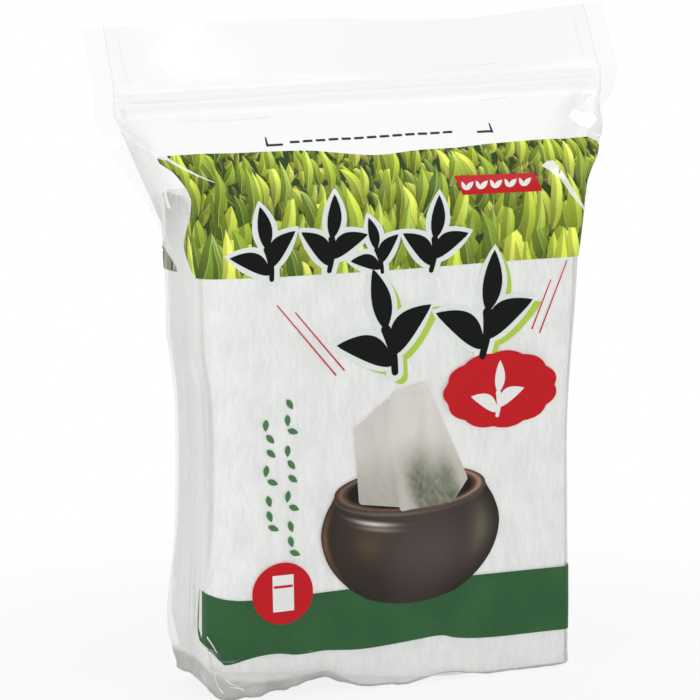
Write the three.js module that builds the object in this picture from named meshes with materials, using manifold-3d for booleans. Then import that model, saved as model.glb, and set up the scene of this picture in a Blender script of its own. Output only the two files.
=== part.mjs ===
// Resealable clear film pouch that holds a stack of folded paper tea filters.
// Millimetres, +Z up, printed front towards -Y, origin at the middle of the base.
// The pouch is a flat bag with side seals: its bottom corners are boxed and tucked under,
// and above the stack its front and back slope together to a press-to-close zip.

import * as THREE from 'three';
import { mergeVertices } from 'three/addons/utils/BufferGeometryUtils.js';
import Module from 'manifold-3d';

// Folded filters
const FILTER_COUNT = 60;
const FILTERS_PER_NODE = 2;
const FILTER_WIDTH = 70;
const FILTER_HEIGHT = 95;
const FLAP_HEIGHT = 28;
const MOUTH_DROP = 2;
const PAPER_THICKNESS = 0.1;
const LAYER_GAP = 0.03;
const FILTER_GAP = 0.04;
const EDGE_SEAL_WIDTH = 3;
const TIE_HEIGHT = 1.2;

// How far the filters stray from a square stack, and how fast that changes through it
const STRAY_SIDEWAYS = 0.7;
const STRAY_UPWARD = 0.9;
const SIDEWAYS_PACE = 1.9;
const UPWARD_PACE = 2.3;
const SLOW_PACE = 0.37;

// Room that the film leaves round the stack
const SIDE_CLEARANCE = 0.8;
const DEPTH_CLEARANCE = 0.6;
const BASE_CLEARANCE = 0.4;
const TOP_CLEARANCE = 0.4;

// Film pouch
const FILM_THICKNESS = 0.12;
const FOLD_TIGHTNESS = 0.88;
const FILM_SLACK = 1.2;
const CORNER_SHARE = 0.4;
const SIDE_SEAL_WIDTH = 4;
const FLARE_START = 42;
const SEAM_DROP = 12;
const SHOULDER_RISE = 14;
const LIP_GAP = 0.3;
const HEADER_HEIGHT = 12;
const HEADER_NECK = 1.5;
const HEADER_BOW = 3;
const HEADER_SWAY = 3.8;
const HEADER_LEAN = 2.6;
const HEADER_TAPER = 0.7;

// The filled bag is fuller on its right. Its side seals lie over by these degrees, towards
// the back where above 0, and stand out straight at the zip.
const LEFT_FORM = { slack: 0, flare: 1.1, bulge: 0, zipSlack: 0, sealFold: -62 };
const RIGHT_FORM = { slack: 0.5, flare: 3.3, bulge: 1.3, zipSlack: 0.6, sealFold: 24 };
const FOLD_DROP = 6;

// Press-to-close zip, both tracks
const TRACK_FLANGE_HEIGHT = 3.6;
const TRACK_FLANGE_THICKNESS = 0.25;
const TRACK_MARGIN = 0.5;
const STEM_THICKNESS = 0.4;
const HEAD_WIDTH = 1.0;
const HEAD_DEPTH = 0.45;
const NOSE_WIDTH = 0.3;
const JAW_THICKNESS = 0.3;
const HOOK_DEPTH = 0.25;
const TRACK_PLAY = 0.18;
const WELD_GAP = 0.05;
const TRACK_END_CLEARANCE = 0.3;

// Fineness of the curved film
const FACE_STEPS = 16;
const CORNER_STEPS = 3;
const MIN_CORNER = 0.05;
const FLARE_ROWS = 3;
const SHOULDER_ROWS = 3;
const HEADER_ROWS = 4;

// Sizes that follow from those above
const filterThickness = 3 * PAPER_THICKNESS + 2 * LAYER_GAP;
const filterPitch = filterThickness + FILTER_GAP;
const stackDepth = FILTER_COUNT * filterPitch;
const earThickness = 2 * FILM_THICKNESS;
const stackBase = earThickness + FILM_THICKNESS + BASE_CLEARANCE;
const stackTop = stackBase + FILTER_HEIGHT + STRAY_UPWARD;

// Largest round inside two walls that clears a square corner standing in from both
function roundClearOf(first, second) {
  return FOLD_TIGHTNESS * (first + second + Math.sqrt(2 * first * second));
}

const cornerRadius = roundClearOf(SIDE_CLEARANCE, DEPTH_CLEARANCE) + FILM_THICKNESS;
const baseEdgeRadius = roundClearOf(DEPTH_CLEARANCE, BASE_CLEARANCE) + FILM_THICKNESS;
const bodyHalfWidth = FILTER_WIDTH / 2 + STRAY_SIDEWAYS + SIDE_CLEARANCE + FILM_THICKNESS;
const bodyHalfDepth = stackDepth / 2 + DEPTH_CLEARANCE + FILM_THICKNESS;
const shoulderLevel = stackTop + TOP_CLEARANCE;
const seamLevel = shoulderLevel - SEAM_DROP;
const zipLowLevel = shoulderLevel + SHOULDER_RISE;
const zipHighLevel = zipLowLevel + TRACK_FLANGE_HEIGHT + 2 * TRACK_MARGIN;
const zipLevel = (zipLowLevel + zipHighLevel) / 2;

const trackDepth = 2 * TRACK_FLANGE_THICKNESS + HOOK_DEPTH + HEAD_DEPTH + 3 * TRACK_PLAY;
const zipHalfDepth = trackDepth / 2 + WELD_GAP + FILM_THICKNESS;
const lipHalfDepth = LIP_GAP / 2 + FILM_THICKNESS;
const girth = bodyHalfWidth + bodyHalfDepth + FILM_SLACK;
const zipHalfWidth = girth - zipHalfDepth;

const wasm = await Module();
wasm.setup();

// Conversion between three.js geometry and solids that can be joined and cut

function toSolid(geometry) {
  const bare = geometry.clone();
  bare.deleteAttribute('normal');
  bare.deleteAttribute('uv');
  const merged = mergeVertices(bare, 1e-4);
  return new wasm.Manifold(new wasm.Mesh({
    numProp: 3,
    vertProperties: new Float32Array(merged.attributes.position.array),
    triVerts: new Uint32Array(merged.index.array),
  }));
}

function toGeometry(solid) {
  const mesh = solid.getMesh();
  const geometry = new THREE.BufferGeometry();
  geometry.setAttribute('position', new THREE.BufferAttribute(mesh.vertProperties, 3));
  geometry.setIndex(new THREE.BufferAttribute(mesh.triVerts, 1));
  geometry.computeVertexNormals();
  return geometry;
}

// A bar along X whose section is given in the YZ plane, centred on x = 0
function barAlongX(section, length) {
  const shape = new THREE.Shape(section.map(([y, z]) => new THREE.Vector2(y, z)));
  const geometry = new THREE.ExtrudeGeometry(shape, { depth: length, bevelEnabled: false });
  geometry.translate(0, 0, -length / 2);
  geometry.applyMatrix4(new THREE.Matrix4().set(
    0, 0, 1, 0,
    1, 0, 0, 0,
    0, 1, 0, 0,
    0, 0, 0, 1,
  ));
  return toSolid(geometry);
}

// Repeatable stray of a filter, between -1 and 1, from its place in the stack
function stray(index, pace) {
  return Math.sin(index * pace) * Math.cos(index * pace * SLOW_PACE + 1);
}

// One filter: a paper strip folded at the bottom, with its back panel turned over the mouth
// as a flap and both sides sealed. The front face of the flap lies at y = 0.
function filterSolid() {
  const paper = PAPER_THICKNESS;
  const frontPanel = paper + LAYER_GAP;
  const pocket = frontPanel + paper;
  const backPanel = pocket + LAYER_GAP;
  const flapEdge = FILTER_HEIGHT - FLAP_HEIGHT;
  const mouth = FILTER_HEIGHT - paper - MOUTH_DROP;
  const pressed = barAlongX([
    [0, flapEdge],
    [frontPanel, flapEdge],
    [frontPanel, 0],
    [filterThickness, 0],
    [filterThickness, FILTER_HEIGHT],
    [0, FILTER_HEIGHT],
  ], FILTER_WIDTH);
  const hollow = barAlongX([
    [paper, flapEdge - paper],
    [frontPanel, flapEdge - paper],
    [frontPanel, mouth],
    [pocket, mouth],
    [pocket, paper],
    [backPanel, paper],
    [backPanel, FILTER_HEIGHT - paper],
    [paper, FILTER_HEIGHT - paper],
  ], FILTER_WIDTH - 2 * EDGE_SEAL_WIDTH);
  return pressed.subtract(hollow);
}

// Neighbouring filters held together along their bottom folds
function filterGroupSolid() {
  const single = filterSolid();
  let group = single;
  for (let i = 1; i < FILTERS_PER_NODE; i += 1) {
    const overlap = PAPER_THICKNESS / 2;
    const tieBack = i * filterPitch + PAPER_THICKNESS + LAYER_GAP + overlap;
    const tieFront = (i - 1) * filterPitch + filterThickness - overlap;
    const tie = barAlongX([
      [tieFront, 0],
      [tieBack, 0],
      [tieBack, TIE_HEIGHT],
      [tieFront, TIE_HEIGHT],
    ], FILTER_WIDTH - 2 * EDGE_SEAL_WIDTH);
    group = group.add(single.translate([0, i * filterPitch, 0])).add(tie);
  }
  return group;
}

// The header above the zip bows forward, sways once across its width and leans a little
// sideways. The film keeps its length, so what leans forward or back also comes down.
function headerShift(x, level) {
  const rise = Math.max(0, level - zipHighLevel) / HEADER_HEIGHT;
  const across = THREE.MathUtils.clamp(x / zipHalfWidth, -1, 1);
  const bow = HEADER_BOW * Math.cos(across * Math.PI / 2) ** 2;
  const sway = HEADER_SWAY * Math.sin(across * Math.PI);
  const slant = (bow + sway) / Math.hypot(HEADER_HEIGHT, bow + sway);
  return {
    forward: HEADER_HEIGHT * slant * rise,
    sideways: -(HEADER_LEAN + HEADER_TAPER * across) * rise,
    drop: HEADER_HEIGHT * (1 - Math.sqrt(1 - slant ** 2)) * rise,
  };
}

// Outer half widths of one side of the film, and how far its seal lies over, at a level
function sideSize(form, level) {
  const flareAt = (height) => {
    const climb = (height - FLARE_START) / (shoulderLevel - FLARE_START);
    return bodyHalfWidth + form.slack + form.flare * THREE.MathUtils.smoothstep(climb, 0, 1);
  };
  const body = flareAt(Math.min(level, shoulderLevel));
  const zipReach = zipHalfWidth + form.zipSlack;
  const front = THREE.MathUtils.clamp((level - shoulderLevel) / SHOULDER_RISE, 0, 1);
  const seam = THREE.MathUtils.clamp((level - seamLevel) / (SHOULDER_RISE + SEAM_DROP), 0, 1);
  const seamBase = level < seamLevel ? body : flareAt(seamLevel);
  const upright = THREE.MathUtils.smoothstep(level, shoulderLevel - FOLD_DROP, zipLowLevel);
  return {
    halfWidth: THREE.MathUtils.lerp(body, zipReach, front),
    seam: THREE.MathUtils.lerp(seamBase, zipReach, seam) + form.bulge * Math.sin(Math.PI * seam),
    fold: THREE.MathUtils.degToRad(form.sealFold) * (1 - upright),
  };
}

// Outer size of the film at one level, with its sides inset by the round of the base edge
function filmSize(level, halfDepth, inset = 0, seal = SIDE_SEAL_WIDTH) {
  const [left, right] = [LEFT_FORM, RIGHT_FORM].map((form) => {
    const side = sideSize(form, level);
    return { ...side, halfWidth: side.halfWidth - inset, seam: side.seam - inset };
  });
  const corner = Math.min(cornerRadius, CORNER_SHARE * halfDepth);
  return { level, left, right, halfDepth: halfDepth - inset, corner, seal };
}

// Sizes of the film at the levels of its loft, from the floor to the free edge
function filmLevels() {
  const levels = [];
  for (let i = 0; i <= CORNER_STEPS; i += 1) {
    const angle = (i / CORNER_STEPS) * Math.PI / 2;
    const level = earThickness + baseEdgeRadius * (1 - Math.cos(angle));
    const inset = baseEdgeRadius * (1 - Math.sin(angle));
    const seal = SIDE_SEAL_WIDTH * Math.sin(angle) + FILM_THICKNESS;
    levels.push(filmSize(level, bodyHalfDepth, inset, seal));
  }

  // Up the sides the film stands off the stack more and more towards the shoulder. The seam
  // leaves the side lower than the corners do, and both meet at the zip.
  for (let i = 0; i <= FLARE_ROWS; i += 1) {
    const level = THREE.MathUtils.lerp(FLARE_START, seamLevel, i / FLARE_ROWS);
    levels.push(filmSize(level, bodyHalfDepth));
  }
  for (let i = 0; i <= SHOULDER_ROWS; i += 1) {
    const climb = i / SHOULDER_ROWS;
    const halfDepth = THREE.MathUtils.lerp(bodyHalfDepth, zipHalfDepth, climb);
    levels.push(filmSize(shoulderLevel + SHOULDER_RISE * climb, halfDepth));
  }
  levels.push(filmSize(zipHighLevel, zipHalfDepth));
  for (let i = 0; i <= HEADER_ROWS; i += 1) {
    const climb = (HEADER_HEIGHT - HEADER_NECK) * i / HEADER_ROWS;
    levels.push(filmSize(zipHighLevel + HEADER_NECK + climb, lipHalfDepth));
  }
  return levels;
}

// The front or back half of the film's outline at one level, from the left seam to the right
// one. An inset of one film thickness gives the inner wall, which has no seal.
function panelChain(size, inset, front) {
  const halfDepth = size.halfDepth - inset;
  const corner = Math.max(size.corner - inset, MIN_CORNER);
  const turned = front ? 1 : -1;
  const sideChain = (side) => {
    const flat = side.halfWidth - inset - corner;
    const chain = [];
    for (let i = 0; i <= CORNER_STEPS; i += 1) {
      const angle = (i / CORNER_STEPS) * Math.PI / 2;
      chain.push([flat + corner * Math.sin(angle), corner - halfDepth - corner * Math.cos(angle)]);
    }
    if (inset > 0) {
      chain.push([side.seam - inset, -inset / 2]);
      return chain;
    }
    const fold = turned * side.fold * Math.min(1, size.seal / SIDE_SEAL_WIDTH);
    const across = size.seal * Math.cos(fold) + FILM_THICKNESS * Math.sin(fold);
    const back = size.seal * Math.sin(fold) - FILM_THICKNESS * Math.cos(fold);
    chain.push([side.seam, -FILM_THICKNESS]);
    chain.push([side.seam + across, back]);
    return chain;
  };
  const right = sideChain(size.right);
  const left = sideChain(size.left).map(([x, y]) => [-x, y]).reverse();
  const leftFlat = corner + inset - size.left.halfWidth;
  const rightFlat = size.right.halfWidth - inset - corner;
  const face = [];
  for (let i = 1; i < FACE_STEPS; i += 1) {
    face.push([THREE.MathUtils.lerp(leftFlat, rightFlat, i / FACE_STEPS), -halfDepth]);
  }
  return [...left, ...face, ...right].map(([x, y]) => [x, turned * y]);
}

// Closed solid through the front and back chains of the given levels. The quads of the back
// are split the other way, so that both faces of a twisted seal are split alike.
function loftSolid(levels, inset) {
  const positions = [];
  let count = 0;
  levels.forEach((size) => {
    const front = panelChain(size, inset, true);
    const back = panelChain(size, inset, false).reverse();
    count = front.length;
    [...front, ...back].forEach(([x, y]) => {
      const { forward, sideways, drop } = headerShift(x, size.level);
      positions.push(x + sideways, y - forward, size.level - drop);
    });
  });
  const ring = 2 * count;
  const triangles = [];
  for (let row = 0; row + 1 < levels.length; row += 1) {
    for (let i = 0; i < ring; i += 1) {
      const low = row * ring + i;
      const lowNext = row * ring + (i + 1) % ring;
      if (i < count) {
        triangles.push(low, lowNext, lowNext + ring);
        triangles.push(low, lowNext + ring, low + ring);
      } else {
        triangles.push(low, lowNext, low + ring);
        triangles.push(lowNext, lowNext + ring, low + ring);
      }
    }
  }
  const top = (levels.length - 1) * ring;
  for (let i = 0; i + 1 < count; i += 1) {
    const mirror = ring - 1 - i;
    triangles.push(i, mirror, mirror - 1);
    triangles.push(i, mirror - 1, i + 1);
    triangles.push(top + i, top + i + 1, top + mirror - 1);
    triangles.push(top + i, top + mirror - 1, top + mirror);
  }
  return new wasm.Manifold(new wasm.Mesh({
    numProp: 3,
    vertProperties: new Float32Array(positions),
    triVerts: new Uint32Array(triangles),
  }));
}

// A boxed bottom corner of the flat bag, tucked under the base as a two-layer triangle
function tuckedEar(side) {
  const root = bodyHalfWidth - baseEdgeRadius;
  const reach = bodyHalfDepth + SIDE_SEAL_WIDTH;
  const halfBase = bodyHalfDepth - baseEdgeRadius - cornerRadius / 2;
  const outline = new THREE.Shape([
    new THREE.Vector2(side * root, -halfBase),
    new THREE.Vector2(side * root, halfBase),
    new THREE.Vector2(side * (root - reach), 0),
  ]);
  const depth = earThickness + FILM_THICKNESS / 2;
  return toSolid(new THREE.ExtrudeGeometry(outline, { depth, bevelEnabled: false }));
}

function pouchSolid() {
  const levels = filmLevels();
  const outer = loftSolid(levels, 0);
  const floor = { ...levels[0], level: levels[0].level + FILM_THICKNESS };
  const brim = levels[levels.length - 1];
  const spill = { ...brim, level: brim.level + HEADER_HEIGHT / HEADER_ROWS };
  const inner = loftSolid([floor, ...levels.slice(1), spill], FILM_THICKNESS);
  return outer.subtract(inner).add(tuckedEar(-1)).add(tuckedEar(1));
}

// Zip tracks, closed: a barbed stem on the front lip sits between two hooked jaws on the back
const frontFlange = -trackDepth / 2 + TRACK_FLANGE_THICKNESS;
const backFlange = trackDepth / 2 - TRACK_FLANGE_THICKNESS;
const noseTip = backFlange - TRACK_PLAY;
const barb = noseTip - HEAD_DEPTH;
const hookInner = barb - TRACK_PLAY;
const hookTip = hookInner - HOOK_DEPTH;
const trackLength = 2 * (zipHalfWidth - FILM_THICKNESS - TRACK_END_CLEARANCE);

// Half profiles run from the middle plane up the track and are mirrored below it
function mirroredProfile(half) {
  const below = half.map(([y, z]) => [y, -z]).reverse();
  return [...half, ...below];
}

function maleTrackSolid() {
  return barAlongX(mirroredProfile([
    [noseTip, NOSE_WIDTH / 2],
    [barb, HEAD_WIDTH / 2],
    [barb, STEM_THICKNESS / 2],
    [frontFlange, STEM_THICKNESS / 2],
    [frontFlange, TRACK_FLANGE_HEIGHT / 2],
    [frontFlange - TRACK_FLANGE_THICKNESS, TRACK_FLANGE_HEIGHT / 2],
  ]), trackLength);
}

function femaleTrackSolid() {
  const jawInner = HEAD_WIDTH / 2 + TRACK_PLAY;
  const jawOuter = jawInner + JAW_THICKNESS;
  const hookEdge = STEM_THICKNESS / 2 + TRACK_PLAY;
  return barAlongX(mirroredProfile([
    [backFlange, jawInner],
    [hookInner, jawInner],
    [hookInner, hookEdge],
    [hookTip, hookEdge + TRACK_PLAY / 2],
    [hookTip, jawOuter],
    [backFlange, jawOuter],
    [backFlange, TRACK_FLANGE_HEIGHT / 2],
    [backFlange + TRACK_FLANGE_THICKNESS, TRACK_FLANGE_HEIGHT / 2],
  ]), trackLength);
}

// Finishes

function filmMaterial() {
  return new THREE.MeshStandardMaterial({
    color: 0xeff3f3, roughness: 0.12, metalness: 0, transparent: true, opacity: 0.35,
  });
}

function trackMaterial() {
  return new THREE.MeshStandardMaterial({
    color: 0xf4f7f7, roughness: 0.2, metalness: 0, transparent: true, opacity: 0.5,
  });
}

function paperMaterial() {
  return new THREE.MeshStandardMaterial({ color: 0xf3f2ec, roughness: 0.95, metalness: 0 });
}

// Assembly

function part(name, solid, material) {
  const mesh = new THREE.Mesh(toGeometry(solid), material);
  mesh.name = name;
  return mesh;
}

function filterStack() {
  const stack = new THREE.Group();
  const shared = filterGroupSolid();
  const nodes = FILTER_COUNT / FILTERS_PER_NODE;
  for (let i = 0; i < nodes; i += 1) {
    const number = String(i + 1).padStart(2, '0');
    const mesh = part(`filter_pair_${number}`, shared, paperMaterial());
    mesh.position.set(
      STRAY_SIDEWAYS * stray(i, SIDEWAYS_PACE),
      -stackDepth / 2 + FILTER_GAP / 2 + i * FILTERS_PER_NODE * filterPitch,
      stackBase + STRAY_UPWARD * (1 + stray(i, UPWARD_PACE)) / 2,
    );
    stack.add(mesh);
  }
  return stack;
}

function zip() {
  const tracks = new THREE.Group();
  tracks.add(part('zip_male_track', maleTrackSolid(), trackMaterial()));
  tracks.add(part('zip_female_track', femaleTrackSolid(), trackMaterial()));
  tracks.position.z = zipLevel;
  return tracks;
}

// The bowed header reaches past the front, so the whole pack is moved back to stand
// with the middle of its outer box over the origin
function centreOnBase(pack) {
  const box = new THREE.Box3().setFromObject(pack, true);
  pack.position.set(-(box.min.x + box.max.x) / 2, -(box.min.y + box.max.y) / 2, -box.min.z);
  return pack;
}

const pack = new THREE.Group();
pack.add(part('pouch_film', pouchSolid(), filmMaterial()));
pack.add(zip());
pack.add(filterStack());

export default centreOnBase(pack);
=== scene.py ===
"""Looks of a resealable clear pouch of paper tea filters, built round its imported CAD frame.

The film, its side seals, the stack of filters and the print on the front are modelled here in
millimetres round the middle of the pouch, and turned into metres of the frame at the end.
"""

import logging
import math
import random
from dataclasses import dataclass, field
from enum import Enum
from typing import Callable, Sequence

import bmesh
import bpy
import numpy as np
from mathutils import Matrix, Vector


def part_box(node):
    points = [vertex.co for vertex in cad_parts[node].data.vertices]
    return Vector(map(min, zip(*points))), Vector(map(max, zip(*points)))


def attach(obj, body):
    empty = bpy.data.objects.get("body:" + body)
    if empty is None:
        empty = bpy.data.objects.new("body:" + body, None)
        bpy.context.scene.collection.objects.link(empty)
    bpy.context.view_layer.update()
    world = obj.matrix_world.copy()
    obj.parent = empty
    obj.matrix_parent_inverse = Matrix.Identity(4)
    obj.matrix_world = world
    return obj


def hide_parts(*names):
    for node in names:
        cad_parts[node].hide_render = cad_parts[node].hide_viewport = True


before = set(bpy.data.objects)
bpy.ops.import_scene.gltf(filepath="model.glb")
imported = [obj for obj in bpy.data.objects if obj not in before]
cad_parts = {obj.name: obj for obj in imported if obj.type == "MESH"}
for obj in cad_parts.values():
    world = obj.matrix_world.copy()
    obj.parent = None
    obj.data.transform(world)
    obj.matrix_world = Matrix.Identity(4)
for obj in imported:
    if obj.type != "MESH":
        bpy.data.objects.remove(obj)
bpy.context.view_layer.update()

LOG = logging.getLogger("tea_filter_pack")
MM = 0.001
BODY = "root"

Array = np.ndarray
Piece = bpy.types.Object
Finish = bpy.types.Material
Socket = bpy.types.NodeSocket
Point = tuple[float, float]
Colour = tuple[float, float, float]


def smooth(value: Array, low: float, high: float) -> Array:
    """Smooth step from 0 at low to 1 at high."""
    share = np.clip((value - low) / (high - low), 0.0, 1.0)
    return share * share * (3.0 - 2.0 * share)


def bell(value: Array, middle: float, width: float) -> Array:
    """Round bump of height 1 about middle."""
    return np.exp(-(((value - middle) / width) ** 2))


def creases(points: Array, wavelength: float, seed: int, count: int = 5) -> Array:
    """Sharp-edged folds from crossing ridge waves.

    Args:
        points: places in millimetres, one row each.
        wavelength: mean distance between folds.
        seed: picks the directions of the folds.
        count: number of crossing waves.

    Returns:
        One height per point, about -1 to 1.
    """
    dice = np.random.default_rng(seed)
    total = np.zeros(len(points))
    for _ in range(count):
        direction = dice.normal(size=3)
        direction /= np.linalg.norm(direction)
        sway = dice.normal(size=3)
        sway /= np.linalg.norm(sway) * 2.3 * wavelength
        phase = dice.uniform(0, 2 * math.pi)
        along = points @ direction / (wavelength * dice.uniform(0.7, 1.5))
        bent = along * math.pi + phase + 1.3 * np.sin(points @ sway * 2 * math.pi + phase)
        total += 1.0 - 2.0 * np.abs(np.sin(bent))
    return total / count


def curve(points: Sequence[Point], steps: int = 6, closed: bool = False) -> list[Point]:
    """Smooth line through several points.

    Args:
        points: places that the line passes.
        steps: pieces between two of them.
        closed: joins the last point to the first.

    Returns:
        Points of the line.
    """
    count = len(points)
    last = count if closed else count - 1
    line = []
    for i in range(last):
        places = [(i + k) % count if closed else min(max(i + k, 0), count - 1) for k in (-1, 0, 1, 2)]
        near = [points[place] for place in places]
        for step in range(steps):
            t = step / steps
            weights = (
                -0.5 * t + t * t - 0.5 * t**3,
                1 - 2.5 * t * t + 1.5 * t**3,
                0.5 * t + 2 * t * t - 1.5 * t**3,
                -0.5 * t * t + 0.5 * t**3,
            )
            line.append(tuple(sum(w * p[axis] for w, p in zip(weights, near)) for axis in (0, 1)))
    return line if closed else line + [points[-1]]


class Side(Enum):
    """A panel of the flat bag, with the sign of its side along Y."""

    FRONT = -1
    BACK = 1


@dataclass(frozen=True)
class PouchForm:
    """Shape of the filled pouch over the flat bag, in millimetres round its middle.

    A place on a panel is given by its distance across the panel from the middle line and its
    level above the base. The section at each level is a rounded box that narrows to the zip.
    """

    middle: Point
    stack_half_width: float
    stack_half_depth: float
    stack_base: float
    stack_top: float
    zip_low: float
    zip_high: float
    zip_half_width: float
    zip_half_depth: float
    top_level: float
    left_room: float = 0.7
    right_room: float = 1.6
    depth_room: float = 0.74
    corner: float = 2.1
    soft_corner: float = 4.6
    left_base_round: float = 1.7
    right_base_round: float = 0.8
    flare_start: float = 42.0
    flare_left: float = 1.1
    flare_right: float = 3.3
    left_seam_drop: float = 14.6
    right_seam_drop: float = 12.0
    right_spread: tuple[Point, ...] = (
        (81, 0.1), (86, 0.5), (91, 0.9), (95, 1.4), (98, 2.3), (101, 3.0), (103.5, 3.2), (105.5, 2.9),
        (107.5, 1.6), (109.5, 0.5), (111, 0),
    )
    left_spread: tuple[Point, ...] = (
        (3, 0.2), (9, 1.3), (14, 1.5), (22, 0.7), (30, 0), (43, -0.5), (56, -0.8), (62, -0.4), (68, 0.3),
        (76, 0),
    )
    hollow_edge: tuple[Point, ...] = (
        (-40, 6.2), (-34.6, 5.7), (-31, 4.4), (-22, 3.4), (-12.6, 2.6), (-8, 0.9), (36, 0.4),
    )
    shoulder_round: float = 0.16
    right_bulge: float = 1.3
    right_reach: float = 0.6
    lip_half_depth: float = 0.27
    header_neck: float = 1.5
    header_bow: float = 3.0
    header_sway: float = 3.8
    header_lean: float = 2.6
    header_taper: float = 0.7
    front_softness: float = 0.14
    back_softness: float = 0.13
    soft_start: float = 23.0
    seal_width: float = 4.0
    base_level: float = 0.3

    @classmethod
    def from_frame(cls) -> "PouchForm":
        """Reads the sizes that the solids fix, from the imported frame.

        Returns:
            The form that fits round the frame's filters and zip.
        """
        filters = [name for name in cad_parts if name.startswith("filter_pair")]
        stack_low, stack_high = joint_box(filters)
        zip_low, zip_high = joint_box(["zip_male_track", "zip_female_track"])
        film_high = joint_box(["pouch_film"])[1]
        middle = (zip_low + zip_high) / 2
        stack_half = (stack_high - stack_low) / 2
        zip_half = (zip_high - zip_low) / 2
        track_margin = 0.5
        weld = 0.17
        return cls(
            middle=(middle[0], middle[1]),
            stack_half_width=stack_half[0],
            stack_half_depth=stack_half[1],
            stack_base=stack_low[2],
            stack_top=stack_high[2],
            zip_low=zip_low[2] - track_margin,
            zip_high=zip_high[2] + track_margin,
            zip_half_width=zip_half[0] + 2 * weld,
            zip_half_depth=zip_half[1] + weld,
            top_level=film_high[2],
        )

    @property
    def left_half_width(self) -> float:
        """Outer half width at the base, on the left."""
        return self.stack_half_width + self.left_room

    @property
    def half_girth(self) -> float:
        """Flat distance from the middle of a panel to its seam."""
        return self.stack_half_width + self.stack_half_depth

    @property
    def half_depth(self) -> float:
        """Outer half depth of the body."""
        return self.stack_half_depth + self.depth_room

    @property
    def shoulder(self) -> float:
        """Level at which the front and back start to lean together."""
        return self.stack_top + 0.4

    def sizes(self, across: Array, level: Array, side: Side) -> tuple[Array, ...]:
        """Section of one quarter of the pouch at each place.

        Args:
            across: its sign picks the left or the right quarter.
            level: height above the base.
            side: picks the front or the back quarter.

        Returns:
            Half width, half depth, seam half width and corner radius.
        """
        right = across > 0
        flare = np.where(right, self.flare_right, self.flare_left)
        base_width = self.stack_half_width + np.where(right, self.right_room, self.left_room)
        body = base_width + flare * smooth(level, self.flare_start, self.shoulder)
        body = body + np.where(right, 0.0, np.interp(level, *zip(*self.left_spread)) * self.side_share(side))
        zip_reach = self.zip_half_width + np.where(right, self.right_reach, 0.0)
        seam_level = self.shoulder - np.where(right, self.right_seam_drop, self.left_seam_drop)
        seam_start = base_width + flare * smooth(seam_level, self.flare_start, self.shoulder)
        climb = (level - self.shoulder) / (self.zip_low - self.shoulder)
        rise = np.clip((climb + np.sqrt(climb**2 + self.shoulder_round**2)) / 2, 0, 1)
        seam_rise = np.clip((level - seam_level) / (self.zip_low - seam_level), 0, 1)
        half_width = body + (zip_reach - body) * rise
        if side is Side.FRONT:
            half_width = half_width + np.where(right, np.interp(level, *zip(*self.right_spread)), 0.0)
        bulge = np.where(right, self.right_bulge, 0.0) * np.sin(math.pi * seam_rise)
        seam = np.where(level < seam_level, body, seam_start + (zip_reach - seam_start) * seam_rise + bulge)
        half_depth = self.half_depth + (self.zip_half_depth - self.half_depth) * rise
        neck = np.clip((level - self.zip_high) / self.header_neck, 0, 1)
        half_depth = half_depth + (self.lip_half_depth - self.zip_half_depth) * neck
        base_round = np.where(right, self.right_base_round, self.left_base_round)
        dip = np.clip(1 - level / base_round, 0, 1)
        inset = base_round * (1 - np.sqrt(1 - dip**2))
        half_width = half_width - inset
        seam = np.maximum(seam - inset, half_width)
        half_depth = half_depth - inset
        round_edge = self.soft_corner if side is Side.FRONT else self.corner
        corner = np.where(right, self.corner, round_edge)
        return half_width, half_depth, seam, np.minimum(corner, 0.4 * half_depth)

    def side_share(self, side: Side) -> float:
        """Share of the left side's swelling that a panel takes."""
        return 1.0 if side is Side.BACK else 0.35

    def girth(self, across: Array, level: Array, side: Side) -> Array:
        """Distance across a panel from its middle line to the seam, at each place.

        Args:
            across: signed distance across the panel.
            level: height above the base.
            side: the panel.

        Returns:
            One distance per place.
        """
        half_width, half_depth, seam, corner = self.sizes(across, level, side)
        slant = np.hypot(seam - half_width, half_depth - corner)
        return half_width - corner + corner * math.pi / 2 + slant

    def softened(self, x: Array, y: Array, level: Array) -> Array:
        """Depth after the soft stack has given way at its upright left edges.

        Args:
            x: distance from the middle plane.
            y: depth.
            level: height above the base.

        Returns:
            One depth per place.
        """
        front = self.front_softness * (0.5 + 0.5 * smooth(level, 4.0, 30.0))
        back = self.back_softness * smooth(level, 12.0, 34.0)
        strength = np.where(y < 0, front, back)
        strength = strength * (1 - smooth(level, self.shoulder, self.zip_low))
        return y * (1 - strength * smooth(-x, self.soft_start, self.left_half_width))

    def sag(self, x: Array, y: Array, level: Array) -> Array:
        """How far the loose film at the base rises off the floor.

        Args:
            x: distance from the middle plane.
            y: depth.
            level: height above the base.

        Returns:
            One height per place.
        """
        left = smooth(-x, 24.0, self.left_half_width)
        front = smooth(-y, -self.half_depth, 0.0)
        middle = bell(y, 1.0, 8.0)
        wave = 2.4 * bell(x, -15.0, 5.5) + 1.3 * bell(x, 11.0, 5.0) - 0.9 * bell(x, -34.0, 4.0)
        lift = 2.6 * left * middle + 1.0 * smooth(-x, -2.0, 28.0) + wave * front
        return lift * (1 - np.clip(level / 20.0, 0, 1)) ** 2

    def header_shift(self, x: Array, level: Array) -> tuple[Array, ...]:
        """Forward, sideways and downward shift of the header above the zip.

        Args:
            x: distance from the middle plane.
            level: height above the base.

        Returns:
            The three shifts at each place.
        """
        height = self.top_level - self.zip_high
        rise = np.clip((level - self.zip_high) / height, 0, None)
        across = np.clip(x / self.zip_half_width, -1, 1)
        lean = self.header_bow * np.cos(across * math.pi / 2) ** 2
        lean = lean + self.header_sway * np.sin(across * math.pi)
        slant = lean / np.hypot(height, lean)
        drop = height * (1 - np.sqrt(1 - slant**2)) * rise
        return height * slant * rise, -(self.header_lean + self.header_taper * across) * rise, drop

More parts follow.
